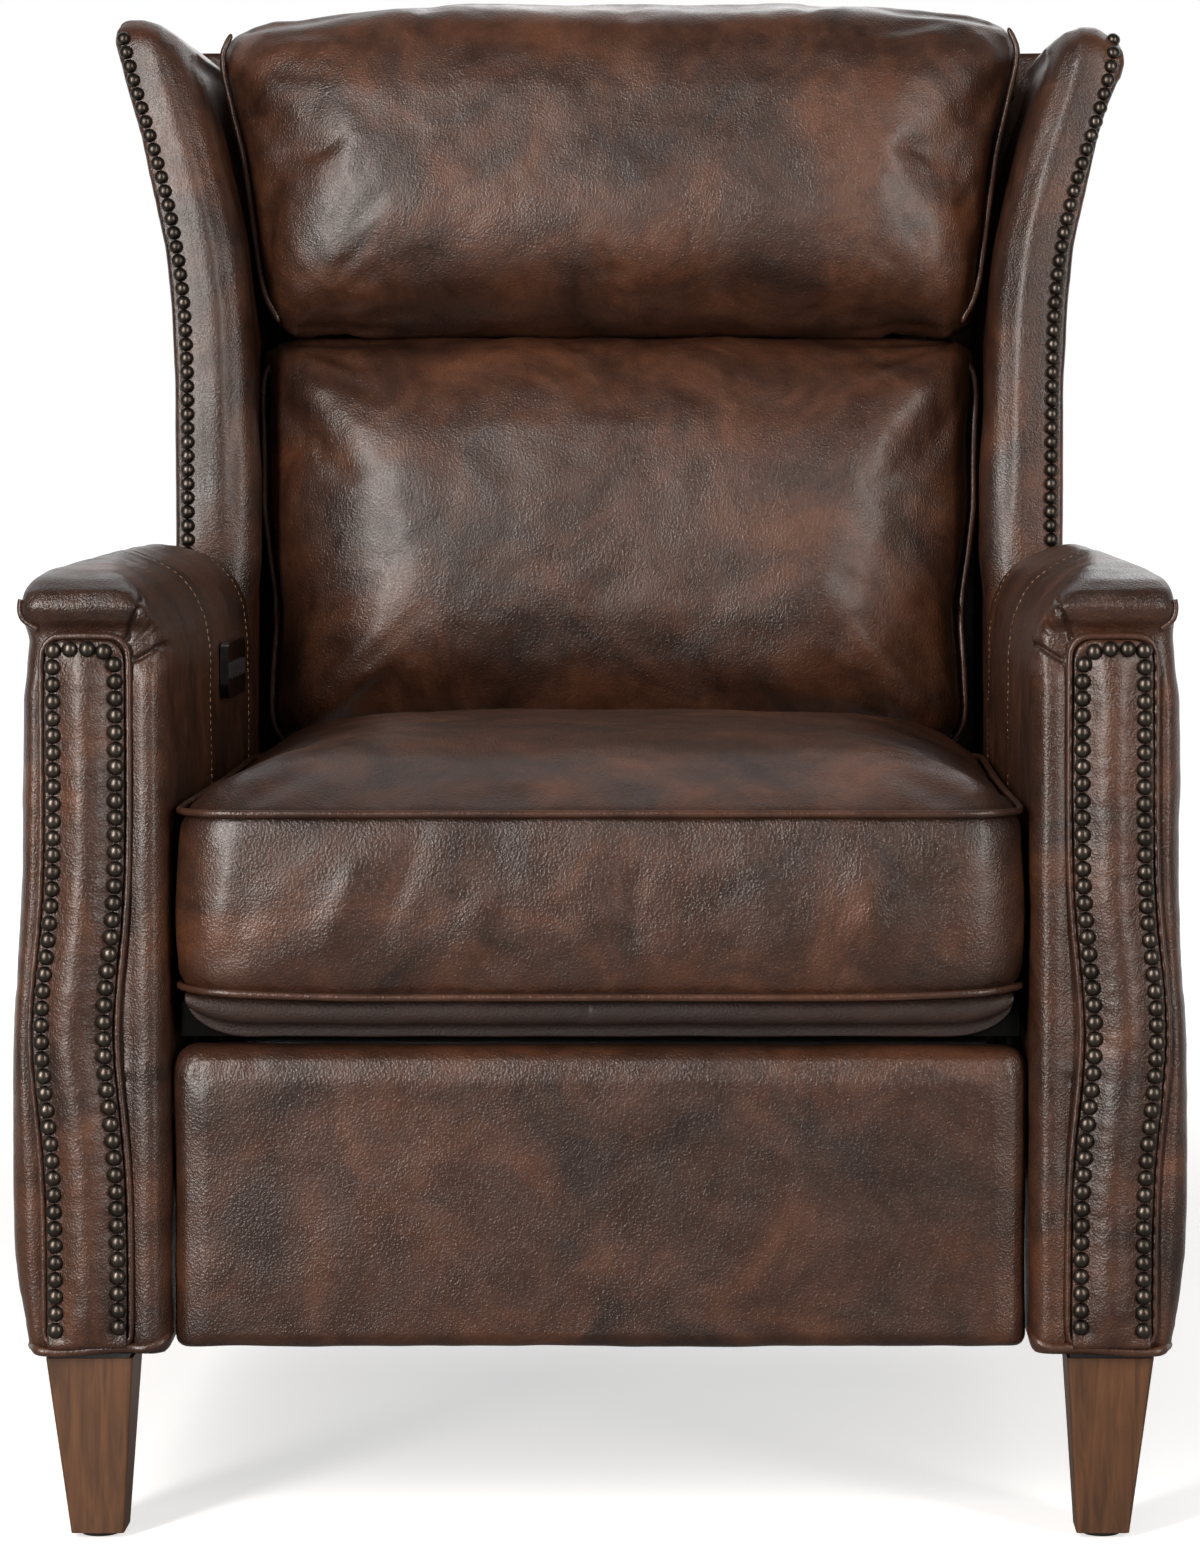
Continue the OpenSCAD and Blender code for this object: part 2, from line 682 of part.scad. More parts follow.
foot_rest_pin = [foot_pin_y, rear_pivot[1] - crank_r * cos(45)];
back_rest_pin = [back_pin_y, back_pivot[1] - crank_r * cos(back_swing)];
foot_rail_front = foot_back + layer_d - layer_c + 3 * overrun;
back_rail_end = back_pivot[0] + tube_w;
module footrest_drive_rail() {
    color(steel) placed() drive_rail(foot_drive_x, foot_rail_front, rear_tube_y + tube_w / 2);
}
module back_drive_rail() {
    color(steel) placed() drive_rail(back_drive_x, front_tube_y - tube_w / 2, back_rail_end);
}
module footrest_motor() {
    color("black") placed() drive_motor(foot_drive_x, front_tube_y + tube_w + motor_l);
}
module back_motor() {
    color("black") placed() drive_motor(back_drive_x, front_tube_y + tube_w + motor_l);
}

// Socket for the power supply in the rear rail
inlet_w = 22;
inlet_h = 16;
inlet_t = 5;
inlet_x = 120;
inlet_bore = 8;
module power_inlet() {
    y = rear_rail_y + rear_rail_t;
    z = arm_base + rear_rail_h / 2;
    color("black") placed() difference() {
        block(inlet_x - inlet_w / 2, inlet_x + inlet_w / 2, y, y + inlet_t, z - inlet_h / 2, z + inlet_h / 2);
        translate([inlet_x, y + inlet_t + overrun, z]) rotate([90, 0, 0])
            cylinder(d = inlet_bore, h = inlet_t * 0.7 + overrun, $fn = 32);
    }
}

// Links of the footrest
module front_links() {
    color(steel) placed() both() difference() {
        link_plate(layer_in, front_pivot, front_pin);
        eye(layer_in, link_t, front_pivot, rivet_d + 2 * fit);
        eye(layer_in, link_t, front_pin, rivet_d + 2 * open_slack);
    }
}
module rear_links() {
    color(steel) placed() both() difference() {
        union() {
            link_plate(layer_a, rear_pivot, knee);
            link_plate(layer_a, knee, lower_pin);
            bar(layer_a, layer_a + link_t, rear_pivot[0], rear_pivot[1], shaft_d + 2 * plate_t);
            bar(layer_a, layer_b + link_t, knee[0], knee[1], rivet_d);
            bar(layer_a, layer_c + link_t, lower_pin[0], lower_pin[1], rivet_d);
        }
        eye(layer_a, link_t, rear_pivot, shaft_d + 2 * shaft_fit);
    }
}
shaft_fit = 0.02;
module footrest_shaft() {
    color("silver") placed() union() {
        bar(-layer_a - link_t, layer_a + link_t, rear_pivot[0], rear_pivot[1], shaft_d);
        crank(foot_drive_x, rear_pivot, foot_rest_pin);
    }
}
module upper_links() {
    color(steel) placed() both() difference() {
        union() {
            link_plate(layer_b, knee, bracket_pivot);
            link_plate(layer_b, knee, front_pin);
            bar(layer_in, layer_b, front_pin[0], front_pin[1], rivet_d);
        }
        eye(layer_b, link_t, knee, rivet_d + 2 * fit);
        eye(layer_b, link_t, bracket_pivot, rivet_d + 2 * fit);
    }
}
module lower_links() {
    color(steel) placed() both() difference() {
        link_plate(layer_c, lower_pin, bracket_pin);
        eye(layer_c, link_t, lower_pin, rivet_d + 2 * fit);
        eye(layer_c, link_t, bracket_pin, rivet_d + 2 * free_slack);
    }
}

// Footrest: brackets, board and pad
flange_w = 36;
flange_t = 3;
board_margin = 4;
board_low = foot_base + board_margin;
board_high = foot_top - 4 * board_margin;
module footrest_brackets() {
    y = foot_back;
    z0 = bracket_pivot[1] - heel * 2;
    z1 = board_high;
    color(steel) placed() both() {
        upright(layer_d, link_t, [
            [y, z0], [y + flange_t, z0],
            [bracket_pivot[0] + link_w / 2, bracket_pivot[1] - link_w / 2],
            [bracket_pivot[0] + link_w / 2, bracket_pivot[1]],
            [bracket_pin[0] + link_w / 2, bracket_pin[1] - link_w / 4],
            [bracket_pin[0] + link_w / 4, bracket_pin[1] + link_w / 2],
            [y, z1]]);
        block(layer_d - flange_w, layer_d, y, y + flange_t, z0, z1);
        bar(layer_b, layer_d, bracket_pivot[0], bracket_pivot[1], rivet_d);
        bar(layer_c, layer_d, bracket_pin[0], bracket_pin[1], rivet_d);
    }
}
module footrest_board() {
    y1 = foot_back;
    x = layer_d + link_t - layer_gap;
    color(timber) placed() block(-x, x, y1 - foot_board_t, y1, board_low, board_high);
}
foot_half = arm_inner - foot_gap;
foot_round = 26;
foot_row_shares = [
    [0, 0.05, 0.02], [0.1, 0, 0], [0.55, 0, 0], [0.75, 0.1, 0.06], [0.9, 0.32, 0.24], [1, 0.85, 0.7]];
module footrest_pad() {
    y1 = foot_face + foot_pad_t;
    color(leather) placed() skin([for (s = foot_row_shares)
        let (i = s[1] * foot_round, y = y1 - s[0] * foot_pad_t)
        [for (p = ring(-foot_half + i, foot_half - i, foot_base + s[2] * foot_round * 0.5, foot_top - i,
            [foot_corner, foot_corner, foot_corner * 2, foot_corner * 2])) [p[0], y, p[1]]]]);
}
foot_corner = 7;

// Frame of the leaning back, and the padded cap on its top
cap_h = 34;
cap_round = 10;
post_top = back_top - cap_h - seat_gap;
post_x = 252;
post_depth = back_depth * cos(lean);

module leaning(z) {
    translate([0, post_plane(z), z]) rotate([-lean, 0, 0]) children();
}
module back_posts() {
    long = (post_top - post_foot) / cos(lean);
    color(timber) placed() both() leaning(post_foot)
        block(post_x - post_t, post_x, 0, post_depth - seat_gap, 0, long);
}
// Cross rails between the posts, given by the height of their lower front edge
rail_depth = 30;
rail_high = 36;
hinge_rail_drop = 41;
hinge_rail_z = back_high - hinge_rail_drop;
back_rail_z = [post_foot + rail_high, hinge_rail_z, post_top - 2 * rail_high];
module back_rails() {
    color(timber) placed() {
        for (z = back_rail_z) leaning(z)
            block(-post_x + post_t, post_x - post_t, 0, rail_depth, 0, rail_high);
        hinge_lugs();
    }
}
module back_springs() {
    z0 = back_rail_z[0] + rail_high * cos(lean);
    z1 = hinge_rail_z;
    long = (z1 - z0 - seat_gap) / cos(lean);
    color(steel) placed() for (s = back_spring_share) leaning(z0)
        translate([s * post_x, rail_depth * 0.4, 0]) rotate([90, 0, 0])
            open_tube(wave(0, 0, long, 0), [0, 0, 1], wire_d / 2);
}
// Steel brackets from the back shaft up the outside of the posts
back_bracket_t = 5;
back_bracket_h = 118;
module back_brackets() {
    z1 = post_foot + back_bracket_h;
    w = shaft_d + 2 * plate_t;
    color(steel) placed() both() difference() {
        union() {
            upright(post_x, back_bracket_t, [
                [back_pivot[0], back_pivot[1] - w / 2],
                [post_plane(post_foot) + w, post_foot - w / 2],
                [post_plane(z1) + w, z1],
                [post_plane(z1), z1],
                [post_plane(post_foot) - w / 2, post_foot + w / 2],
                [back_pivot[0], back_pivot[1] + w / 2]]);
            bar(post_x, post_x + back_bracket_t, back_pivot[0], back_pivot[1], w);
        }
        eye(post_x, back_bracket_t, back_pivot, shaft_d + 2 * shaft_fit);
    }
}
module back_shaft() {
    x = plate_x + plate_t;
    color("silver") placed() union() {
        bar(-x, x, back_pivot[0], back_pivot[1], shaft_d);
        crank(back_drive_x, back_pivot, back_rest_pin);
    }
}

// Back cushion: rings across the chair, from its rear face to its crown
back_row_shares = [
    [0, 0.09], [0.1, 0.05], [0.35, 0.028], [0.52, 0.035], [0.56, 0.05], [0.62, 0.055],
    [0.76, 0.12], [0.88, 0.24], [0.96, 0.42], [1, 0.68]];
back_corner = 42;
back_mid_h = (back_high - back_low) / 2;
back_mid_z = back_low + back_mid_h;
back_thick = post_plane(back_low + back_mid_h * 0.6) - back_front;
function back_row(s, inset) =
    [for (p = even_ring(-back_half + inset, back_half - inset, back_low + inset, back_high - inset,
        max(back_corner - inset, back_corner * 0.35), draw_in))
        [p[0], post_plane(p[1]) - seat_gap - s * back_thick, p[1]]];
module back_cushion() {
    color(leather) placed() skin([for (s = back_row_shares) back_row(s[0], s[1] * back_mid_h)]);
}
// Piping down both sides of the back cushion, from under the pillow to behind the seat
back_pipe_share = 0.56;
back_pipe_first = 8;
back_pipe_last = 18;
module back_piping() {
    inset = 0.05 * back_mid_h - pipe_r * 1.4;
    row = back_row(back_pipe_share, inset);
    color(leather) placed() both()
        open_tube([for (i = [back_pipe_first:back_pipe_last]) row[i]], unit([0, -cos(lean), sin(lean)]), pipe_r);
}

// Wings. Rows give shares of the height above the arms: height, outward lean, front edge, top fall.
wing_row_shares = [
    [-0.4, 0, 0, 0], [-0.05, 0, 0, 0], [0.2, 0, 0.02, 0], [0.33, 0.01, 0.06, 0], [0.46, 0.06, 0.16, 0],
    [0.57, 0.16, 0.28, 0], [0.69, 0.4, 0.42, 0], [0.78, 0.58, 0.55, 0.05], [0.86, 0.79, 0.68, 0.2],
    [0.93, 0.93, 0.82, 0.5], [0.965, 1, 0.92, 0.8], [0.985, 0.99, 1.1, 1], [1, 0.93, 1.6, 1]];
wing_reach = 50;
wing_rake = 27;
wing_fall = 26;
wing_sink = 12;
wing_h = wing_top - arm_crown + wing_sink;
wing_inner_round = 26;
wing_outer_round = 3;
function wing_x(z_share) = wing_out + wing_reach * lookup(z_share, [for (s = wing_row_shares) [s[0], s[1]]]);
function wing_y(z_share) = wing_front + wing_rake * lookup(z_share, [for (s = wing_row_shares) [s[0], s[2]]]);
function wing_z(z_share) = wing_top - wing_h * (1 - z_share);
module wing() {
    skin([for (s = wing_row_shares)
        let (z = wing_z(s[0]), x1 = wing_x(s[0]), x0 = x1 - wing_t, y0 = wing_y(s[0]),
             y1 = panel_plane(z) - seat_gap * 2)
        [for (p = ring(x0, x1, y0, y1,
            [wing_inner_round, wing_outer_round, wing_outer_round * 3, wing_outer_round]))
            let (z1 = z - s[3] * wing_fall * (x1 - p[0]) / wing_t)
            [p[0], min(p[1], panel_plane(z1) - seat_gap), z1]]]);
}
// Outside back: one board whose sides follow the wings
outside_share = [-0.4, 0.33, 0.46, 0.57, 0.69, 0.78, 0.86, 0.93];
outside_inset = 2;
module outside_back() {
    side = concat([[wing_out - outside_inset, 0]],
        [for (t = outside_share) [wing_x(t) - outside_inset, (wing_z(t) - back_base) / cos(lean)]],
        [[wing_x(0.965) - outside_inset, (back_top - back_base) / cos(lean)]]);
    other = [for (i = [len(side) - 1:-1:0]) [-side[i][0], side[i][1]]];
    color(leather) placed() translate([0, panel_plane(back_base), back_base]) rotate([-lean, 0, 0])
        translate([0, back_panel_t, 0]) rotate([90, 0, 0]) linear_extrude(back_panel_t)
            polygon(concat(side, other));
}

// Padded cap that closes the top of the back between the wings
module back_top_pad() {
    x = wing_x(0.9) - wing_t - cap_round;
    z = back_top - cap_h;
    color(leather) placed() skin([for (s = [[0, 0], [0.3, 0], [0.75, 0.2], [1, 1]])
        let (h = z + s[0] * cap_h, i = s[1] * cap_round)
        [for (p = even_ring(-x + i, x - i, post_plane(h) + i, panel_plane(h) - seat_gap - i, cap_round * 0.9))
            [p[0], p[1], h]]]);
}

// Headrest: hinge with a crank, board and pillow
head_pivot_gap = 56.8;
head_pivot_rise = 9;
head_pivot = [post_plane(hinge_rail_z + rail_high) - head_pivot_gap, back_high + head_pivot_rise];
hinge_d = 12;
hinge_x = 150;
lug_t = 5;
head_crank_r = 95;
head_board_gap = 20;
head_board_rise = 6;
head_board_drop = 60;
head_board_low = head_low + head_board_rise;
head_board_high = head_top - head_board_drop;
hinge_wall = 3;
function board_plane(z) = post_plane(z) - head_board_gap;
module headrest_hinge() {
    w = hinge_d + 2 * hinge_wall;
    y0 = board_plane(head_board_low);
    y1 = board_plane(head_board_high * 0.9);
    z1 = head_board_high * 0.9;
    color(steel) placed() {
        bar(-hinge_x, hinge_x, head_pivot[0], head_pivot[1], hinge_d);
        both() upright(hinge_x - 2 * lug_t, lug_t, [
            [head_pivot[0], head_pivot[1] - w / 2],
            [y0 + w * 0.8, head_pivot[1] - w / 4],
            [y1 + w * 0.8, z1],
            [y1 + seat_gap, z1],
            [y0 + seat_gap, head_board_low],
            [head_pivot[0], head_pivot[1] + w / 2 - overrun]]);
        crank_pin = head_pivot + [head_crank_r, 0];
        side = [0, hinge_d / 2];
        upright(-link_t, link_t, [head_pivot - side, crank_pin - side, crank_pin + side, head_pivot + side]);
        bar(-link_t, link_t + fork_t, crank_pin[0], crank_pin[1], hinge_d / 2);
    }
}
module headrest_board() {
    z0 = head_board_low;
    long = (head_board_high - z0) / cos(lean);
    color(timber) placed() translate([0, board_plane(z0), z0]) rotate([-lean, 0, 0])
        block(-head_half + board_margin * 4, head_half - board_margin * 4, -head_board_t, 0, 0, long);
}
// Pillow rows: share of thickness, inset at the sides and top, inset at the bottom
head_row_shares = [
    [0, 0.12, 0.05], [0.15, 0.05, 0.02], [0.4, 0.005, 0.01], [0.52, 0.01, 0.03], [0.545, 0.034, 0.05],
    [0.6, 0.042, 0.07], [0.76, 0.11, 0.17], [0.88, 0.22, 0.3], [0.96, 0.4, 0.44], [1, 0.62, 0.6]];
head_corner = 38;
head_thick = 136;
head_mid = (head_top - head_low) / 2;
head_sweep = 20;
head_droop = 20;
function head_row(s) =
    let (side = s[1] * head_mid, low = s[2] * head_mid)
    [for (p = ring(-head_half + side, head_half - side, head_low + low, head_top - side,
        [head_corner, head_corner, head_corner, head_corner], 0))
        let (rise = (p[1] - head_low) / (head_top - head_low),
             z = p[1] - head_droop * pow(abs(p[0]) / head_half, 6) * max(0, 2 * rise - 1))
        [p[0] * (1 + head_flare / head_half * rise),
         board_plane(z) - head_board_t / cos(lean) - seat_gap - s[0] * (head_thick - head_sweep * rise), z]];
module headrest_cushion() {
    color(leather) placed() skin([for (s = head_row_shares) head_row(s)]);
}
// Piping down both ends of the pillow, from the middle of one corner to the middle of the other
head_pipe_share = 0.555;
head_pipe_first = 10;
head_pipe_last = 18;
module headrest_piping() {
    out = 1.25 * pipe_r / head_mid;
    row = head_row([head_pipe_share, 0.034 - out, 0.05 - out]);
    color(leather) placed() both()
        open_tube([for (i = [head_pipe_first:head_pipe_last]) row[i]], unit([0, -cos(lean), sin(lean)]), pipe_r);
}

// Headrest drive behind the hinge rail
head_rail_y = post_plane(hinge_rail_z + rail_high) + rail_depth / cos(lean) + seat_gap;
head_rail_l = 224;
head_rail_high = hinge_rail_z + rail_high;
head_rail_low = head_rail_high - head_rail_l;
head_carriage_drop = 89;
head_carriage_z = head_rail_high - head_carriage_drop;
module headrest_motor() {
    y = head_rail_y;
    color("black") placed() {
        block(-rail_w / 2, rail_w / 2, y, y + rail_w, head_rail_low, head_rail_high);
        block(-rail_w / 2 - gearbox_w, -rail_w / 2, y, y + rail_w * 1.6,
            head_rail_low, head_rail_low + gearbox_l);
        bar(-rail_w / 2 - gearbox_w - motor_l, -rail_w / 2 - gearbox_w, y + rail_w * 0.8,
            head_rail_low + gearbox_l / 2, rail_w * 1.5);
    }
}
module headrest_carriage() {
    y = head_rail_y;
    half = rail_w / 2 + drive_clear;
    wide = half + carriage_wall;
    pin = head_pivot + [head_crank_r, 0];
    color("gray") placed() difference() {
        union() {
            block(-wide, wide, y + rail_w * 0.3, y + rail_w + carriage_wall,
                head_carriage_z, head_carriage_z + carriage_l);
            block(link_t, link_t + fork_t, y + rail_w + drive_clear, y + rail_w + carriage_wall,
                head_carriage_z, pin[1] + fork_slot);
            block(link_t, link_t + fork_t, pin[0] - fork_slot * 2, y + rail_w + carriage_wall,
                pin[1] - fork_slot / 2 + overrun, pin[1] + fork_slot);
        }
        block(-half, half, y - overrun, y + rail_w + drive_clear, head_carriage_z - overrun,
            head_carriage_z + carriage_l + overrun);
        block(link_t - overrun, link_t + fork_t + overrun, pin[0] - fork_slot * 1.5, pin[0] + fork_slot / 2,
            pin[1] - hinge_d / 4 - overrun, pin[1] + hinge_d / 4 + overrun);
    }
}
// Lugs on the hinge rail that carry the headrest hinge
module hinge_lugs() {
    z = hinge_rail_z + rail_high;
    w = hinge_d + 2 * hinge_wall + 2 * overrun;
    both() difference() {
        union() {
            upright(hinge_x - lug_t, lug_t, [
                [head_pivot[0], head_pivot[1] - w / 2],
                [post_plane(z) + lug_t, z + seat_gap * 5],
                [post_plane(z) + lug_t, z - lug_t],
                [post_plane(z) + rail_depth - lug_t, z - lug_t],
                [post_plane(z) + rail_depth - lug_t, z + lug_t * 2],
                [head_pivot[0], head_pivot[1] + w / 2]]);
            bar(hinge_x - lug_t, hinge_x, head_pivot[0], head_pivot[1], w);
        }
        eye(hinge_x - lug_t, lug_t, head_pivot, hinge_d + 2 * fit);
    }
}

// One module for each sub-part that the helpers above share
module left_arm() {
    color(leather) placed() sided(-1) arm();
}
module right_arm() {
    color(leather) placed() sided(1) arm();
}
module left_front_panel() {
    color(leather) placed() sided(-1) front_panel();
}
module right_front_panel() {
    color(leather) placed() sided(1) front_panel();
}
module front_left_leg() {
    color("sienna") placed() leg(-1, leg_front, leg_front + leg_set_back);
}
module front_right_leg() {
    color("sienna") placed() leg(1, leg_front, leg_front + leg_set_back);
}
module rear_left_leg() {
    color("sienna") placed() leg(-1, leg_rear, rear_foot);
}
module rear_right_leg() {
    color("sienna") placed() leg(1, leg_rear, rear_foot);
}
module leg_glides() {
    color("black") placed() at_feet() cylinder(d = glide_d, h = glide_h, $fn = 48);
}
module leg_plates() {
    edge = leg_edge;
    color(steel) placed() both() for (y = [leg_front, leg_rear])
        block(leg_in + edge, leg_out - edge, y + edge, y + leg_top - edge, arm_base - leg_plate_t, arm_base);
}
module left_side_plate() {
    color(steel) placed() sided(-1) side_plate();
}
module right_side_plate() {
    color(steel) placed() sided(1) side_plate();
}
module button_footrest_out() {
    button(0);
}
module button_footrest_in() {
    button(1);
}
module button_head_up() {
    button(2);
}
module button_head_down() {
    button(3);
}
module button_home() {
    button(4);
}
module footrest_carriage() {
    carriage(foot_drive_x, foot_pin_y, rear_pivot[1] - crank_r, foot_rest_pin[1]);
}
module back_carriage() {
    carriage(back_drive_x, back_pin_y, back_pivot[1] - crank_r, back_rest_pin[1]);
}
module left_wing() {
    color(leather) placed() sided(-1) wing();
}
module right_wing() {
    color(leather) placed() sided(1) wing();
}

left_arm();
right_arm();
left_front_panel();
right_front_panel();
panel_piping();
front_left_leg();
front_right_leg();
rear_left_leg();
rear_right_leg();
leg_glides();
leg_plates();
left_side_plate();
right_side_plate();
cross_tubes();
rear_rail();
seat_frame();
seat_springs();
seat_lip();
seat_cushion();
seat_piping();
control_pad();
usb_socket();
button_footrest_out();
button_footrest_in();
button_head_up();
button_head_down();
button_home();
footrest_motor();
footrest_drive_rail();
back_motor();
back_drive_rail();
power_inlet();
footrest_carriage();
front_links();
rear_links();
footrest_shaft();
upper_links();
lower_links();
footrest_brackets();
footrest_board();
footrest_pad();
back_carriage();
back_shaft();
back_brackets();
back_posts();
back_rails();
back_springs();
back_cushion();
back_piping();
left_wing();
right_wing();
outside_back();
back_top_pad();
headrest_motor();
headrest_carriage();
headrest_hinge();
headrest_board();
headrest_cushion();
headrest_piping();
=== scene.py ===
# %% [markdown]
# # A power recliner, dressed
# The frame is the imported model: every board, link, motor and button stands where it works. This notebook
# gives the chair its looks. It sews the leather over the frame, drives the nails, and turns each finish
# into a material. First come the frame, the camera and the light.

import json
import math

import bpy
import numpy as np
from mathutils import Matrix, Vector, noise
from mathutils.bvhtree import BVHTree
from mathutils.kdtree import KDTree


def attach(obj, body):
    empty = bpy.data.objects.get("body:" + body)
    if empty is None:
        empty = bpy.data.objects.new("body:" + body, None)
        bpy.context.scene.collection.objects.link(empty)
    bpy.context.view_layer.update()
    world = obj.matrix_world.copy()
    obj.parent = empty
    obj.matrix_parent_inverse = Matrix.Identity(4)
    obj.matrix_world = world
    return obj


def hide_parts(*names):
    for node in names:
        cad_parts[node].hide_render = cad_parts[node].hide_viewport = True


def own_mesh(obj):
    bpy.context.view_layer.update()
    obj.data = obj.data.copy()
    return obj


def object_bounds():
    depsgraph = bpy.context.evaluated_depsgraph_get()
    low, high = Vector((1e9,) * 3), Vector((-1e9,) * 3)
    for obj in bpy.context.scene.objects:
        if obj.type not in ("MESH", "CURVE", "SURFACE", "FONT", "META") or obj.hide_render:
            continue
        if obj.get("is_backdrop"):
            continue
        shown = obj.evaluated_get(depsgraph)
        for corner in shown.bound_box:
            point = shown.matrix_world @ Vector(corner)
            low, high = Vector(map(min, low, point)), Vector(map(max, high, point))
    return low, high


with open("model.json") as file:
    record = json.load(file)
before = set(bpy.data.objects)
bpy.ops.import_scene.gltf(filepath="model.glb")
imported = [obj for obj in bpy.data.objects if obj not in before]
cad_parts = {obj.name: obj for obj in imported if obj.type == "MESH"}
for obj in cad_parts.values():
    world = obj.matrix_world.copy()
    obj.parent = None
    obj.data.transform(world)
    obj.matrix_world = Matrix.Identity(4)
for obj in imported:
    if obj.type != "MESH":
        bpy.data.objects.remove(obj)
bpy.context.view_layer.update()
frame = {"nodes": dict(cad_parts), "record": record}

MM = 0.001
# Depth in mm from the arm fronts to the middle of the frame, where y is zero.
MID = 440.0
# The photograph's size in pixels. Its height is the one that the lens counts along.
WIDE, HIGH = 1200, 1544
SIDES = (-1, "left"), (1, "right")


def at(x, depth, z):
    """A place in metres from millimetres: across, depth behind the arm fronts, and height."""
    return Vector((x * MM, (depth - MID) * MM, z * MM))


# %% [markdown]
# ## Camera
# The photograph was taken a little above the seat with a long lens, from about three metres. The picture
# is upright, so the lens's focal length counts along its height. The camera looks slightly down, and a
# small shift keeps the wings from leaning in.

# %% Camera
bpy.ops.object.select_all(action="DESELECT")
bpy.ops.object.camera_add(location=at(89.5, -3121.8, 752.9))
camera = bpy.context.object
camera.name = "camera"
camera.data.lens = 108.4
camera.data.sensor_width = 36
camera.data.shift_y = -0.12
camera.data.shift_x = -0.0854
camera.rotation_euler = (math.radians(90 - 1.922), 0, 0)
camera.data.clip_start = 0.1
camera.data.clip_end = 100
bpy.context.scene.camera = camera
bpy.context.scene.view_settings.view_transform = "Standard"
print("camera at", [round(c, 3) for c in camera.location])

# %% [markdown]
# ## Nodes without clutter
# A material is a small graph. One helper adds a node, sets its values and links its inputs, and one
# function turns a colour written as on paper, in sRGB hex, into the linear light that Blender counts in.


# %% Helpers for materials
def colour(text):
    """A linear colour from an sRGB hex value."""
    parts = [int(text[i:i + 2], 16) / 255 for i in (1, 3, 5)]
    return tuple(c / 12.92 if c <= 0.04045 else ((c + 0.055) / 1.055) ** 2.4 for c in parts) + (1.0,)


def add(tree, kind, settings=None, **inputs):
    """Adds a node. Settings are its own properties, inputs are values or other nodes' sockets."""
    node = tree.nodes.new("ShaderNode" + kind)
    for key, value in (settings or {}).items():
        setattr(node, key, value)
    for key, value in inputs.items():
        name = key.replace("_", " ")
        socket = node.inputs[int(key[1:])] if key[0] == "i" and key[1:].isdigit() else node.inputs[name]
        if isinstance(value, bpy.types.NodeSocket):
            tree.links.new(value, socket)
        else:
            socket.default_value = value
    return node


def new_material(name):
    """An empty material and its tree, with an output node."""
    material = bpy.data.materials.new(name)
    material.use_nodes = True
    tree = material.node_tree
    tree.nodes.clear()
    return material, tree


def ramp(tree, value, stops, smooth=False):
    """Colours over a value: stops are (place, colour)."""
    node = add(tree, "ValToRGB", Fac=value)
    node.color_ramp.interpolation = "EASE" if smooth else "LINEAR"
    for _ in range(len(stops) - 2):
        node.color_ramp.elements.new(0.5)
    for element, (place, tone) in zip(node.color_ramp.elements, stops):
        element.position = place
        element.color = tone if isinstance(tone, tuple) else (tone, tone, tone, 1)
    return node.outputs["Color"]
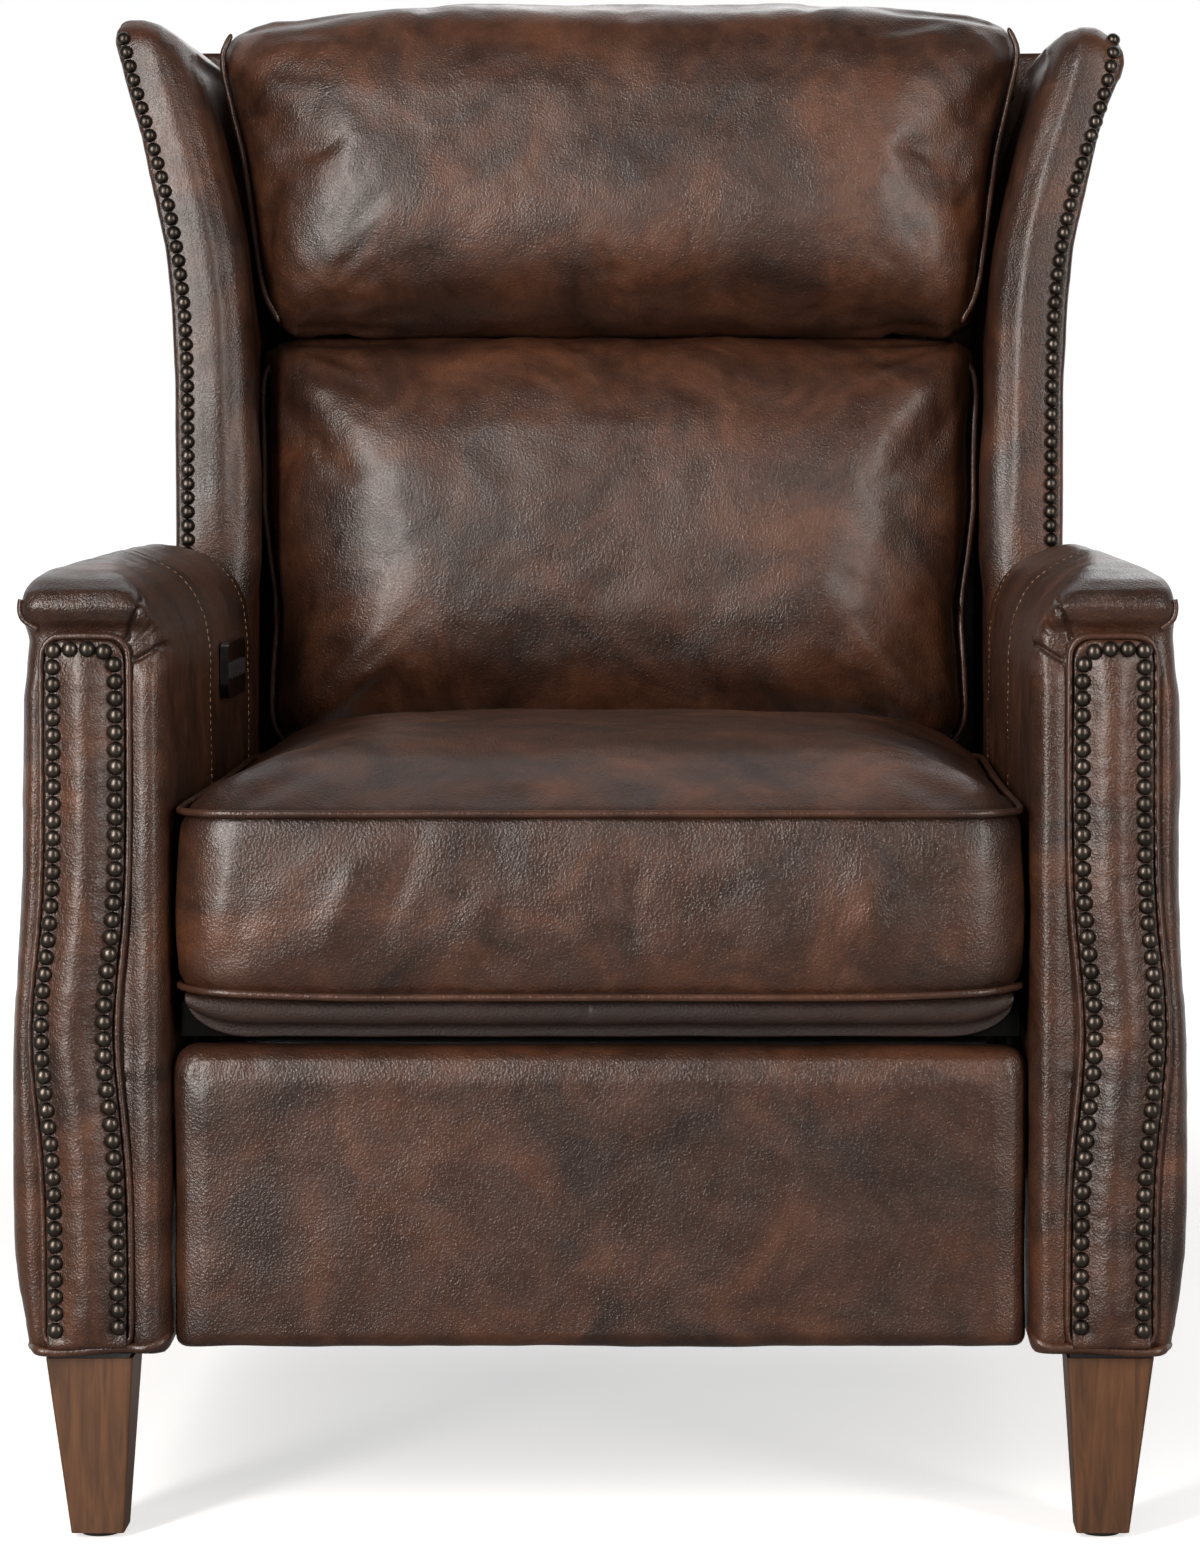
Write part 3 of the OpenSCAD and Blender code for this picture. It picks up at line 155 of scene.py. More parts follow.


# %% [markdown]
# ## Leather
# The hide is aniline-dyed cowhide, waxed and rubbed by hand: reddish brown where the wax was pulled off,
# nearly black where it stayed, in clouds less than a hand wide with finer smoke inside them. The finish is
# semi-gloss. Its grain is a pebble of about 1.6 mm, crossed by fine creases that run aslant. An attribute
# darkens the leather: partly antiquing along the seams, and partly painted shade in seams, folds and creases
# and where a piece lies in shade.


# %% Leather
def leather(name, dark, middle, light, gloss=0.33, grain=1.0):
    """Waxed hide in three tones. gloss is its lowest roughness, grain the strength of its relief."""
    material, tree = new_material(name)
    out = add(tree, "OutputMaterial")
    place = add(tree, "TexCoord").outputs["Object"]
    cloud = add(tree, "TexNoise", Vector=place, Scale=10.5, Detail=6.0, Roughness=0.67, Distortion=0.7)
    smoke = add(tree, "TexNoise", Vector=place, Scale=34.0, Detail=6.0, Roughness=0.68, Distortion=0.3)
    pores = add(tree, "TexNoise", Vector=place, Scale=420.0, Detail=3.0, Roughness=0.6)
    hide = ramp(tree, cloud.outputs["Fac"],
                [(0.36, colour(dark)), (0.5, colour(middle)), (0.65, colour(light))])
    haze = ramp(tree, smoke.outputs["Fac"], [(0.36, 0.0), (0.66, 1.0)])
    smoked = add(tree, "Mix", {"data_type": "RGBA", "blend_type": "MULTIPLY"}, Factor=0.5, i6=hide,
                 i7=ramp(tree, smoke.outputs["Fac"], [(0.32, 0.45), (0.6, 1.0)]))
    specks = add(tree, "Mix", {"data_type": "RGBA", "blend_type": "MULTIPLY"}, Factor=0.4,
                 i6=smoked.outputs[2], i7=ramp(tree, pores.outputs["Fac"], [(0.3, 0.5), (0.55, 1.0)]))
    # Painted shade with some antiquing: an attribute mixes the hide toward the near-black brown #1d110d.
    antiquing_and_shade = add(tree, "Attribute", {"attribute_name": "antiquing_and_shade"})
    edge = add(tree, "Math", {"operation": "MULTIPLY"}, i0=antiquing_and_shade.outputs["Fac"], i1=0.62)
    tint = add(tree, "Mix", {"data_type": "RGBA"}, Factor=edge.outputs[0], i6=specks.outputs[2],
               i7=colour("#1d110d"))
    rough = add(tree, "MapRange", Value=haze, i3=gloss - 0.05, i4=gloss + 0.09)
    pebble = add(tree, "TexVoronoi", {"feature": "SMOOTH_F1"}, Vector=place, Scale=640.0)
    pebble.inputs["Smoothness"].default_value = 0.6
    drawn = add(tree, "Mapping", Vector=place, Rotation=(0.3, 0.5, 0.2), Scale=(470, 470, 200))
    crease = add(tree, "TexNoise", Vector=drawn.outputs[0], Scale=1.0, Detail=5.0, Roughness=0.6, Distortion=0.5)
    fine = add(tree, "Bump", Strength=0.55 * grain, Distance=0.0006, Height=pebble.outputs["Distance"])
    bumped = add(tree, "Bump", Strength=0.6 * grain, Distance=0.0007, Height=crease.outputs["Fac"],
                 Normal=fine.outputs[0])
    shader = add(tree, "BsdfPrincipled", Base_Color=tint.outputs[2], Roughness=rough.outputs[0],
                 Normal=bumped.outputs[0])
    shader.inputs["Specular IOR Level"].default_value = 0.44
    shader.inputs["Coat Weight"].default_value = 0.18
    shader.inputs["Coat Roughness"].default_value = 0.27
    tree.links.new(shader.outputs[0], out.inputs["Surface"])
    return material


cowhide = leather("waxed_cowhide", "#26160f", "#3c2418", "#543321")
piping_hide = leather("piping_cowhide", "#2e1c14", "#3f271b", "#4f3223", gloss=0.31, grain=0.6)
# A darker copy of the hide, as painted shade, for the lip that lies under the cushion.
shaded_hide = leather("shaded_cowhide", "#1f120c", "#2b1911", "#382116", gloss=0.6)
print("leather", cowhide.name, len(cowhide.node_tree.nodes), "nodes")

# %% [markdown]
# ## Wood
# The legs are stained hardwood with a satin lacquer. The grain runs up the leg, so the noise is squeezed
# across it. The frame inside is raw plywood and sawn birch, pale, dry and dull.


# %% Wood
def wood(name, tones, across, along, rough, relief, axis):
    """Straight-grained timber. across and along are the noise's scales, axis the way of the grain."""
    material, tree = new_material(name)
    out = add(tree, "OutputMaterial")
    place = add(tree, "TexCoord").outputs["Object"]
    stretch = [across, across, across]
    stretch[axis] = along
    fibre = add(tree, "Mapping", Vector=place, Scale=stretch)
    grain = add(tree, "TexNoise", Vector=fibre.outputs[0], Scale=1.0, Detail=7.0, Roughness=0.62, Distortion=0.6)
    broad = add(tree, "TexNoise", Vector=place, Scale=11.0, Detail=3.0)
    tone = ramp(tree, grain.outputs["Fac"], [(place, colour(text)) for place, text in zip((0.36, 0.5, 0.66), tones)])
    mixed = add(tree, "Mix", {"data_type": "RGBA", "blend_type": "MULTIPLY"}, Factor=0.35, i6=tone,
                i7=ramp(tree, broad.outputs["Fac"], [(0.35, 0.6), (0.65, 1.0)]))
    bump = add(tree, "Bump", Strength=relief, Distance=0.0003, Height=grain.outputs["Fac"])
    shader = add(tree, "BsdfPrincipled", Base_Color=mixed.outputs[2], Roughness=rough, Normal=bump.outputs[0])
    tree.links.new(shader.outputs[0], out.inputs["Surface"])
    return material


walnut = wood("stained_walnut", ("#402817", "#50331d", "#5f3e24"), 150, 12, 0.45, 0.3, 2)
birch = wood("sawn_birch", ("#a8835a", "#bd9a6e", "#cfae83"), 190, 10, 0.75, 0.5, 0)
print("wood", walnut.name, birch.name)

# %% [markdown]
# ## Metals and plastics
# Link plates and tubes are powder coated, which leaves a fine orange peel. The seat frame is near black
# with almost no gloss, as painted shade, so that it looks dark behind the lip. Shafts are ground bright. The
# springs are drawn wire with a thin oil film. Motor housings are moulded nylon, the control pad is polished black
# plastic.


# %% Metals and plastics
def solid(name, tone, rough, metal, scale, relief, spread=0.05, coat=0.0, tone_2=None):
    """A plain finish with its own fine texture. scale is in bumps per metre."""
    material, tree = new_material(name)
    out = add(tree, "OutputMaterial")
    place = add(tree, "TexCoord").outputs["Object"]
    peel = add(tree, "TexNoise", Vector=place, Scale=float(scale), Detail=4.0, Roughness=0.55)
    broad = add(tree, "TexNoise", Vector=place, Scale=30.0, Detail=4.0)
    base = ramp(tree, broad.outputs["Fac"], [(0.35, colour(tone)), (0.65, colour(tone_2 or tone))])
    polish = add(tree, "MapRange", Value=broad.outputs["Fac"], i3=rough - spread, i4=rough + spread)
    bump = add(tree, "Bump", Strength=relief, Distance=0.0002, Height=peel.outputs["Fac"])
    shader = add(tree, "BsdfPrincipled", Base_Color=base, Roughness=polish.outputs[0], Normal=bump.outputs[0],
                 Metallic=metal)
    shader.inputs["Coat Weight"].default_value = coat
    shader.inputs["Coat Roughness"].default_value = 0.08
    tree.links.new(shader.outputs[0], out.inputs["Surface"])
    return material


powder_coat = solid("black_powder_coat", "#1b1b1d", 0.45, 0.0, 900, 0.5, tone_2="#232326")
bright_steel = solid("ground_steel", "#8f9092", 0.26, 1.0, 1500, 0.25, tone_2="#7d7e81")
spring_wire = solid("oiled_spring_wire", "#4d4f53", 0.34, 1.0, 1200, 0.3, tone_2="#3a3a3d")
nylon = solid("moulded_nylon", "#161617", 0.58, 0.0, 2200, 0.45, tone_2="#1c1c1e")
gloss_black = solid("polished_black_plastic", "#0b0b0c", 0.14, 0.0, 300, 0.05, spread=0.03, coat=0.4,
                    tone_2="#0f0f10")
button_grey = solid("moulded_button_plastic", "#2a2a2d", 0.32, 0.0, 1800, 0.25, tone_2="#313134")
rubber = solid("nail_on_glide_rubber", "#141312", 0.8, 0.0, 1500, 0.6, tone_2="#1d1b19")
plated = solid("nickel_plate", "#a9a9ac", 0.24, 1.0, 1500, 0.15, tone_2="#9b9b9e")
bronze = solid("antique_bronze", "#57504a", 0.36, 1.0, 700, 0.3, spread=0.05, tone_2="#403b36")
# Painted shade: the seat frame is near black and almost without gloss, so that it looks dark behind the lip.
shade_black = solid("seat_frame_shade_black", "#060606", 0.8, 0.0, 900, 0.5, tone_2="#090909")
shade_black.node_tree.nodes["Principled BSDF"].inputs["Specular IOR Level"].default_value = 0.04
thread = solid("waxed_tan_thread", "#a07c58", 0.6, 0.0, 3000, 0.4, tone_2="#8b6a4a")

finishes = {"brown_leather": cowhide, "walnut_wood": walnut, "frame_wood": birch, "frame_steel": powder_coat,
            "bright_steel": bright_steel, "spring_steel": spring_wire, "black_plastic": nylon,
            "gloss_black": gloss_black, "button_plastic": button_grey, "glide_rubber": rubber,
            "socket_steel": plated}
for row in frame["record"]["subparts"]:
    mesh = frame["nodes"][row["node"]].data
    mesh.materials.clear()
    mesh.materials.append(shade_black if row["node"] == "seat_frame" else finishes[row["material_slot"]])

# %% [markdown]
# ## Floor and light
# The chair stands on a plain white floor in soft studio light. A tall, narrow soft box on each side, the
# left one stronger, draws the long highlights on the leather and a spark on every nail. Weaker ones hang
# overhead and behind. The floor throws little light back, or the leather would look milky. Away from the
# chair it turns into the white background, and under the chair it keeps the soft shadow.

# %% Floor
def rays_that_see(tree, place, near, far):
    """One for the rays that see the white room: the camera's, and those a shiny skin sends behind the chair."""
    path = add(tree, "LightPath")
    parts = add(tree, "SeparateXYZ", i0=place)
    behind = add(tree, "MapRange", Value=parts.outputs["Y"], i1=near, i2=far)
    shiny = add(tree, "Math", {"operation": "MULTIPLY"}, i0=path.outputs["Is Glossy Ray"], i1=behind.outputs[0])
    clear = add(tree, "Math", {"operation": "MAXIMUM"}, i0=path.outputs["Is Camera Ray"],
                i1=path.outputs["Is Transmission Ray"])
    return add(tree, "Math", {"operation": "MAXIMUM"}, i0=clear.outputs[0], i1=shiny.outputs[0]).outputs[0]


bpy.ops.object.select_all(action="DESELECT")
bpy.ops.mesh.primitive_plane_add(size=60, location=(0, 0, -0.0005))
floor = bpy.context.object
floor.name = "floor"
paper, tree = new_material("studio_floor")
out = add(tree, "OutputMaterial")
matt = add(tree, "BsdfDiffuse", Color=(0.75, 0.75, 0.75, 1))
place = add(tree, "TexCoord").outputs["Object"]
ground = add(tree, "VectorMath", {"operation": "LENGTH"}, i0=place)
far = add(tree, "MapRange", {"interpolation_type": "SMOOTHSTEP"}, Value=ground.outputs["Value"], i1=0.9, i2=3.2,
          i3=0.62, i4=1.0)
glow = add(tree, "Emission", Color=(1, 1, 1, 1), Strength=far.outputs[0])
both = add(tree, "AddShader", i0=matt.outputs[0], i1=glow.outputs[0])
seen = rays_that_see(tree, place, -0.4, 1.4)
dim = add(tree, "BsdfDiffuse", Color=(0.28, 0.28, 0.28, 1))
mix = add(tree, "MixShader", i0=seen, i1=dim.outputs[0], i2=both.outputs[0])
tree.links.new(mix.outputs[0], out.inputs["Surface"])
floor.data.materials.append(paper)
floor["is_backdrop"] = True
print("floor", floor.name, [round(c) for c in floor.dimensions[:2]], "m")

# %% Light
world = bpy.data.worlds.new("studio")
bpy.context.scene.world = world
world.use_nodes = True
tree = world.node_tree
tree.nodes.clear()
out = add(tree, "OutputWorld")
seen = rays_that_see(tree, add(tree, "TexCoord").outputs["Generated"], 0.1, 0.7)
room = add(tree, "Background", Color=(1.0, 0.98, 0.96, 1), Strength=0.12)
white = add(tree, "Background", Color=(1, 1, 1, 1), Strength=1.0)
mix = add(tree, "MixShader", i0=seen, i1=room.outputs[0], i2=white.outputs[0])
tree.links.new(mix.outputs[0], out.inputs["Surface"])


def soft_box(name, place, target, width, height, power, tone=(1, 1, 1)):
    """A rectangular lamp that looks from its place at a target."""
    bpy.ops.object.light_add(type="AREA", location=place)
    lamp = bpy.context.object
    lamp.name = name
    lamp.data.shape = "RECTANGLE"
    lamp.data.size = width
    lamp.data.size_y = height
    lamp.data.energy = power
    lamp.data.color = tone
    lamp.rotation_euler = (Vector(target) - Vector(place)).to_track_quat("-Z", "Y").to_euler()
    return lamp


warm = (1.0, 0.93, 0.88)
soft_box("key_box", (-1.7, -3.0, 1.55), (0, -0.2, 0.75), 0.5, 2.9, 158, warm)
soft_box("right_box", (2.2, -2.7, 1.45), (0, -0.1, 0.75), 0.55, 2.7, 72, warm)
overhead = soft_box("top_box", (0.1, -0.9, 2.9), (0, 0, 0.5), 2.0, 0.8, 13, warm)
overhead.visible_glossy = False
soft_box("rear_box", (0.6, 2.6, 2.2), (0, 0.2, 0.6), 2.0, 1.4, 12)

# %% [markdown]
# ## Tools for sewn pieces
# Every padded piece starts as a copy of its solid in the frame. The copy is merged into one skin, gets an
# even net of small faces, is blown up like a filled cover while its seams are held, and is then worked:
# creases, wrinkles and a slow unevenness that the light can play on.


# %% Picking and copying
def pick(piece):
    """Makes a piece the only selected object, and the active one."""
    bpy.ops.object.select_all(action="DESELECT")
    piece.select_set(True)
    bpy.context.view_layer.objects.active = piece


def cover(node, name):
    """A merged copy of a node's skin, which stands for the node from now on."""
    piece = bpy.data.objects.new(name, frame["nodes"][node].data.copy())
    bpy.context.scene.collection.objects.link(piece)
    piece.data.materials.clear()
    pick(piece)
    bpy.ops.object.mode_set(mode="EDIT")
    bpy.ops.mesh.select_all(action="SELECT")
    bpy.ops.mesh.remove_doubles(threshold=0.00002)
    bpy.ops.object.mode_set(mode="OBJECT")
    return piece


def net(piece, size):
    """An even net of quads, size metres wide, over the whole skin."""
    pick(piece)
    piece.data.remesh_voxel_size = size
    piece.data.remesh_voxel_adaptivity = 0
    piece.data.use_remesh_fix_poles = False
    bpy.ops.object.voxel_remesh()
    return piece


def points_of(piece):
    """The places of a piece's points, one row each."""
    data = np.empty(len(piece.data.vertices) * 3)
    piece.data.vertices.foreach_get("co", data)
    return data.reshape(-1, 3)


def normals_of(piece):
    """The normals at a piece's points, one row each."""
    data = np.empty(len(piece.data.vertices) * 3)
    piece.data.vertices.foreach_get("normal", data)
    return data.reshape(-1, 3)


def move_points(piece, points):
    piece.data.vertices.foreach_set("co", np.ascontiguousarray(points, dtype=float).ravel())
    piece.data.update()


def distance_to(points, path):
    """For each point, how far the nearest point of a polyline is."""
    path = np.asarray(path, dtype=float)
    best = np.full(len(points), 1e9)
    for a, b in zip(path[:-1], path[1:]):
        ab = b - a
        t = np.clip(((points - a) @ ab) / max(ab @ ab, 1e-12), 0, 1)
        best = np.minimum(best, np.linalg.norm(points - a - t[:, None] * ab, axis=1))
    return best


def relax(piece, factor, times, keep=(), reach=0.014):
    """Rounds what the net left stepped. Seams in keep hold their place."""
    pick(piece)
    bpy.ops.object.modifier_add(type="SMOOTH")
    smooth = piece.modifiers[-1]
    smooth.factor = factor
    smooth.iterations = times
    if len(keep):
        points = points_of(piece)
        free = np.ones(len(points))
        for seam in keep:
            free = np.minimum(free, 1 - np.exp(-(distance_to(points, seam) / reach) ** 2))
        group = piece.vertex_groups.new(name="free")
        for level in range(1, 11):
            group.add([int(i) for i in np.nonzero(np.round(free * 10) == level)[0]], level / 10, "REPLACE")
        smooth.vertex_group = "free"
    bpy.ops.object.modifier_apply(modifier=smooth.name)


def finer_near(piece, low, high, cuts=1):
    """Divides the faces inside a box, so that a sharp fold finds points to bend."""
    pick(piece)
    bpy.ops.object.mode_set(mode="EDIT")
    bpy.ops.mesh.select_mode(type="FACE")
    bpy.ops.mesh.select_all(action="DESELECT")
    bpy.ops.object.mode_set(mode="OBJECT")
    for face in piece.data.polygons:
        face.select = all(a <= c <= b for a, c, b in zip(low, face.center, high))
    bpy.ops.object.mode_set(mode="EDIT")
    bpy.ops.mesh.subdivide(number_cuts=cuts, quadcorner="INNERVERT")
    bpy.ops.mesh.select_mode(type="VERT")
    bpy.ops.object.mode_set(mode="OBJECT")


def finer(piece):
    """Divides every face once and rounds the skin."""
    pick(piece)
    bpy.ops.object.modifier_add(type="SUBSURF")
    refine = piece.modifiers[-1]
    refine.levels = 1
    refine.render_levels = 1
    bpy.ops.object.modifier_apply(modifier=refine.name)


# %% Filling a cover
def fill(piece, seams, cap, pressure=4.0, hold=0.006):
    """Cloth under pressure. What lies within hold of a seam stays, and no point moves beyond the cap."""
    pick(piece)
    before = points_of(piece)
    held = np.zeros(len(before), bool)
    for seam in seams:
        held |= distance_to(before, seam) < hold
    group = piece.vertex_groups.new(name="held")
    group.add([int(i) for i in np.nonzero(held)[0]], 1.0, "REPLACE")
    bpy.ops.object.modifier_add(type="CLOTH")
    cloth = piece.modifiers[-1]
    cloth.settings.use_pressure = True
    cloth.settings.uniform_pressure_force = pressure
    cloth.settings.effector_weights.gravity = 0
    cloth.settings.vertex_group_mass = "held"
    cloth.point_cache.frame_end = 20
    for number in range(1, 21):
        bpy.context.scene.frame_set(number)
    bpy.ops.object.modifier_apply(modifier=cloth.name)
    bpy.context.scene.frame_set(1)
    after = points_of(piece)
    step = after - before
    length = np.linalg.norm(step, axis=1, keepdims=True)
    move_points(piece, before + step * (cap * np.tanh(length / cap) / np.maximum(length, 1e-9)))
    print(piece.name, "filled,", len(before), "points, largest move", round(float(length.max()) * 1000, 1), "mm")


def draw_to(piece, reach, target, top, inside, where):
    """Draws an edge of a cover to a height, column by column: what lies within reach of it follows."""
    points = points_of(piece)
    columns = np.arange(-0.33, 0.331, 0.01)
    sign = 1 if top else -1
    edge = []
    for x in columns:
        near = (np.abs(points[:, 0] - x) < 0.008) & (np.abs(points[:, 0]) < inside)
        edge.append(sign * (sign * points[near][:, 2]).max() if near.any() else np.nan)
    edge = np.array(edge)
    good = ~np.isnan(edge)
    here = np.interp(points[:, 0], columns[good], edge[good])
    share = np.clip(1 - sign * (here - points[:, 2]) / reach, 0, 1) ** 1.5 * where(points)
    points[:, 2] += share * (target - here)
    move_points(piece, points)


# %% [markdown]
# The listed work comes last. A crease presses a line into the leather, a wrinkle raises or sinks a short
# soft fold, and the unevenness is a noise a few centimetres wide and about a millimetre high.


# %% Creases, wrinkles and unevenness
def press(piece, path, depth, width, where=None):
    """Presses a groove along a polyline, deepest on the line itself."""
    points, normals = points_of(piece), normals_of(piece)
    near = depth * np.exp(-(distance_to(points, path) / width) ** 2)
    if where is not None:
        near *= where(points, normals)
    move_points(piece, points - normals * near[:, None])


def wrinkle(piece, folds, where=None):
    """Short folds: each is (start, end, height, width). A negative height sinks."""
    points, normals = points_of(piece), normals_of(piece)
    total = np.zeros(len(points))
    for a, b, height, width in folds:
        a, b = np.array(a), np.array(b)
        ab = b - a
        t = np.clip(((points - a) @ ab) / (ab @ ab), 0, 1)
        off = np.linalg.norm(points - a - t[:, None] * ab, axis=1)
        total += height * np.exp(-(off / width) ** 2) * np.sin(math.pi * np.clip(0.04 + 0.92 * t, 0, 1)) ** 0.7
    if where is not None:
        total *= where(points, normals)
    move_points(piece, points + normals * total[:, None])


def uneven(piece, height, width, seed=0.0):
    """A slow rise and fall of the surface."""
    points, normals = points_of(piece), normals_of(piece)
    lift = np.array([noise.fractal(Vector(p) / width + Vector((seed, 3.1, seed)), 0.9, 2.1, 3) for p in points])
    move_points(piece, points + normals * (lift * height)[:, None])


def darken(piece, paths, reach):
    """Writes the darkening attribute, painted shade with some antiquing: one on a seam, falling off over reach."""
    points = points_of(piece)
    near = np.zeros(len(points))
    for path in paths:
        near = np.maximum(near, np.exp(-(distance_to(points, path) / reach) ** 1.2))
    antiquing_and_shade = piece.data.attributes.new("antiquing_and_shade", "FLOAT", "POINT")
    antiquing_and_shade.data.foreach_set("value", near.astype(np.float32))


def dressed(piece, body, material, *nodes, fill_share=None):
    """Finishes a piece: its material, the body it rides on and the nodes it stands for."""
    piece.data.materials.clear()
    piece.data.materials.append(material)
    for face in piece.data.polygons:
        face.use_smooth = True
    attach(piece, body)
    if nodes:
        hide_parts(*nodes)
    print(piece.name, len(piece.data.polygons), "faces")
    return piece


def loose_parts(node):
    """The points of each separate tube in a node, as arrays."""
    piece = cover(node, "measure")
    bpy.ops.object.mode_set(mode="EDIT")
    bpy.ops.mesh.select_all(action="SELECT")
    bpy.ops.mesh.separate(type="LOOSE")
    bpy.ops.object.mode_set(mode="OBJECT")
    tubes = list(bpy.context.selected_objects)
    points = [points_of(tube) for tube in tubes]
    for tube in tubes:
        bpy.data.objects.remove(tube)
    return points


def loops_of(node):
    """The middle line of each closed cord in a node."""
    loops = []
    for p in loose_parts(node):
        centre = p.mean(axis=0)
        axes = np.linalg.svd(p - centre, full_matrices=False)[2]
        flat = (p - centre) @ axes[:2].T
        p = p[np.argsort(np.arctan2(flat[:, 1], flat[:, 0]))]
        steps = max(8, len(p) // 6)
        rings = [p[i * len(p) // steps:(i + 1) * len(p) // steps].mean(axis=0) for i in range(steps)]
        loops.append(np.array(rings + rings[:1]))
    return sorted(loops, key=lambda loop: -loop[:, 2].mean())


def lines_of(node):
    """The middle line of each upright open cord in a node, from below."""
    lines = []
    for p in loose_parts(node):
        p = p[np.argsort(p[:, 2])]
        lines.append(np.array([p[i:i + 6].mean(axis=0) for i in range(0, len(p) - 5, 6)]))
    return lines


# %% [markdown]
# A cord in the frame has six flat sides. One subdivision rounds it, and a hair more radius makes up for
# what the rounding takes away. Short cords and hems that the frame leaves out are drawn as a path with a
# round profile.


# %% Cords
def rounded_cord(node, body, bend=None):
    """The cord of a node, made round, and moved by bend where the cover beside it was."""
    cord = cover(node, node + "_cord")
    finer(cord)
    points = points_of(cord) + normals_of(cord) * 0.0003
    move_points(cord, points if bend is None else bend(points))
    darken(cord, [], 0.01)
    return dressed(cord, body, piping_hide, node)


def drawn_cord(name, body, path, radius, material):
    """A cord along a path of places, closed at both ends."""
    bpy.ops.object.select_all(action="DESELECT")
    bpy.ops.curve.primitive_nurbs_path_add(location=(0, 0, 0))
    line = bpy.context.object
    line.name = name
    spline = line.data.splines[0]
    spline.points.add(max(0, len(path) - len(spline.points)))
    for point, place in zip(spline.points, path):
        point.co = (*place, 1)
    spline.order_u = 3
    spline.use_endpoint_u = True
    line.data.resolution_u = 4
    line.data.bevel_depth = radius
    line.data.bevel_resolution = 2
    line.data.use_fill_caps = True
    bpy.ops.object.convert(target="MESH")
    piece = bpy.context.object
    darken(piece, [], 0.01)
    return dressed(piece, body, material)


# %% [markdown]
# ## Seat cushion
# A boxed cushion: a crowned top and a flat underside joined by a boxing strip, with a leather cord in
# both seams. The cover is filled while both seams are held, so the boxing swells between them and the
# top rises to its crown. Sitters leave fine tension lines in the front of the boxing.


# %% Seat cushion
def lower_seam_up(points):
    """The front of the seat's lower seam hangs a little above the frame, most at its corners."""
    corner = np.clip((np.abs(points[:, 0]) - 0.17) / 0.11, 0, 1) ** 1.3
    share = np.clip((0.43 - points[:, 2]) / 0.05, 0, 1) * np.clip((at(0, 200, 0).y - points[:, 1]) / 0.08, 0, 1)
    return np.column_stack([points[:, 0], points[:, 1], points[:, 2] + (0.004 + 0.0045 * corner) * share])


rounded_cord("seat_piping", "chair_base", lower_seam_up)
seat_seams = loops_of("seat_piping")
seat = net(cover("seat_cushion", "seat_cushion_cover"), 0.008)
relax(seat, 0.5, 10, seat_seams)
fill(seat, seat_seams, 0.009)
finer(seat)
press(seat, seat_seams[0], 0.0015, 0.006)
press(seat, seat_seams[1], 0.0015, 0.006)
move_points(seat, lower_seam_up(points_of(seat)))
front = seat_seams[0][:, 1].min()
wrinkle(seat, [
    (at(-160, -15, 470), at(-185, -15, 400), 0.0024, 0.011), (at(-120, -15, 480), at(-150, -15, 405), -0.0019, 0.009),
    (at(-70, -15, 450), at(-95, -15, 385), 0.0019, 0.012), (at(30, -15, 470), at(18, -15, 400), -0.0018, 0.012),
    (at(100, -15, 475), at(122, -15, 395), 0.0016, 0.013), (at(170, -15, 480), at(196, -15, 390), 0.0021, 0.011),
    (at(-230, -10, 455), at(-250, -8, 395), -0.0018, 0.010), (at(215, -15, 450), at(235, -10, 395), -0.0016, 0.010)])
uneven(seat, 0.0016, 0.07, 1.7)
# Painted shade along both seams, with some antiquing.
darken(seat, seat_seams, 0.016)
dressed(seat, "chair_base", cowhide, "seat_cushion", fill_share=0.8)

# %% [markdown]
# ## Back cushion
# The back cushion is boxed in the same way and leans with the back. Its lower corners are squeezed by
# the arms, which throws a few slanting folds.

# %% Back cushion
def between_the_wings(points):
    """Above the arms the back cushion spreads until it meets the wings, at the arms it is squeezed. It sits
    a little left of the middle."""
    spread = np.interp(points[:, 2], [0.50, 0.56, 0.61, 0.65, 0.69, 0.80], [0, -0.001, -0.003, 0.004, 0.0085, 0.0075])
    share = np.clip((np.abs(points[:, 0]) - 0.16) / 0.12, 0, 1)
    behind = np.clip((points[:, 1] * 1000 + MID - 655) / 25, 0, 1) * np.clip((points[:, 2] - 0.66) / 0.03, 0, 1)
    spread = spread + 0.0052 * behind
    across = points[:, 0] - 0.002 + np.sign(points[:, 0]) * spread * share
    return np.column_stack([across, points[:, 1], points[:, 2]])


back_seams = lines_of("back_piping")
back = net(cover("back_cushion", "back_cushion_cover"), 0.008)
relax(back, 0.5, 4, back_seams)
fill(back, back_seams, 0.009)
finer(back)
draw_to(back, 0.10, 0.8290, True, 0.276, lambda p: np.clip((0.292 - np.abs(p[:, 0])) / 0.008, 0, 1))
for seam in back_seams:
    press(back, seam, 0.0015, 0.006)
move_points(back, between_the_wings(points_of(back)))
rounded_cord("back_piping", "back", between_the_wings)
wrinkle(back, [
    (at(228, 560, 590), at(196, 560, 622), 0.0024, 0.009), (at(244, 565, 575), at(222, 560, 588), -0.0026, 0.008),
    (at(240, 565, 600), at(205, 560, 640), -0.0018, 0.010), (at(216, 560, 560), at(186, 560, 580), 0.0016, 0.010),
    (at(-236, 560, 590), at(-204, 560, 618), 0.0014, 0.010),
    (at(-242, 565, 575), at(-214, 560, 592), -0.0014, 0.009)])
uneven(back, 0.0018, 0.08, 5.2)
# Painted shade along the seams, with some antiquing.
darken(back, back_seams, 0.018)
dressed(back, "back", cowhide, "back_cushion", fill_share=0.8)

# %% [markdown]
# ## Headrest pillow
# The pillow is one panel that rolls over the top, with a boxing strip at each end. Its cords run down
# both ends only.

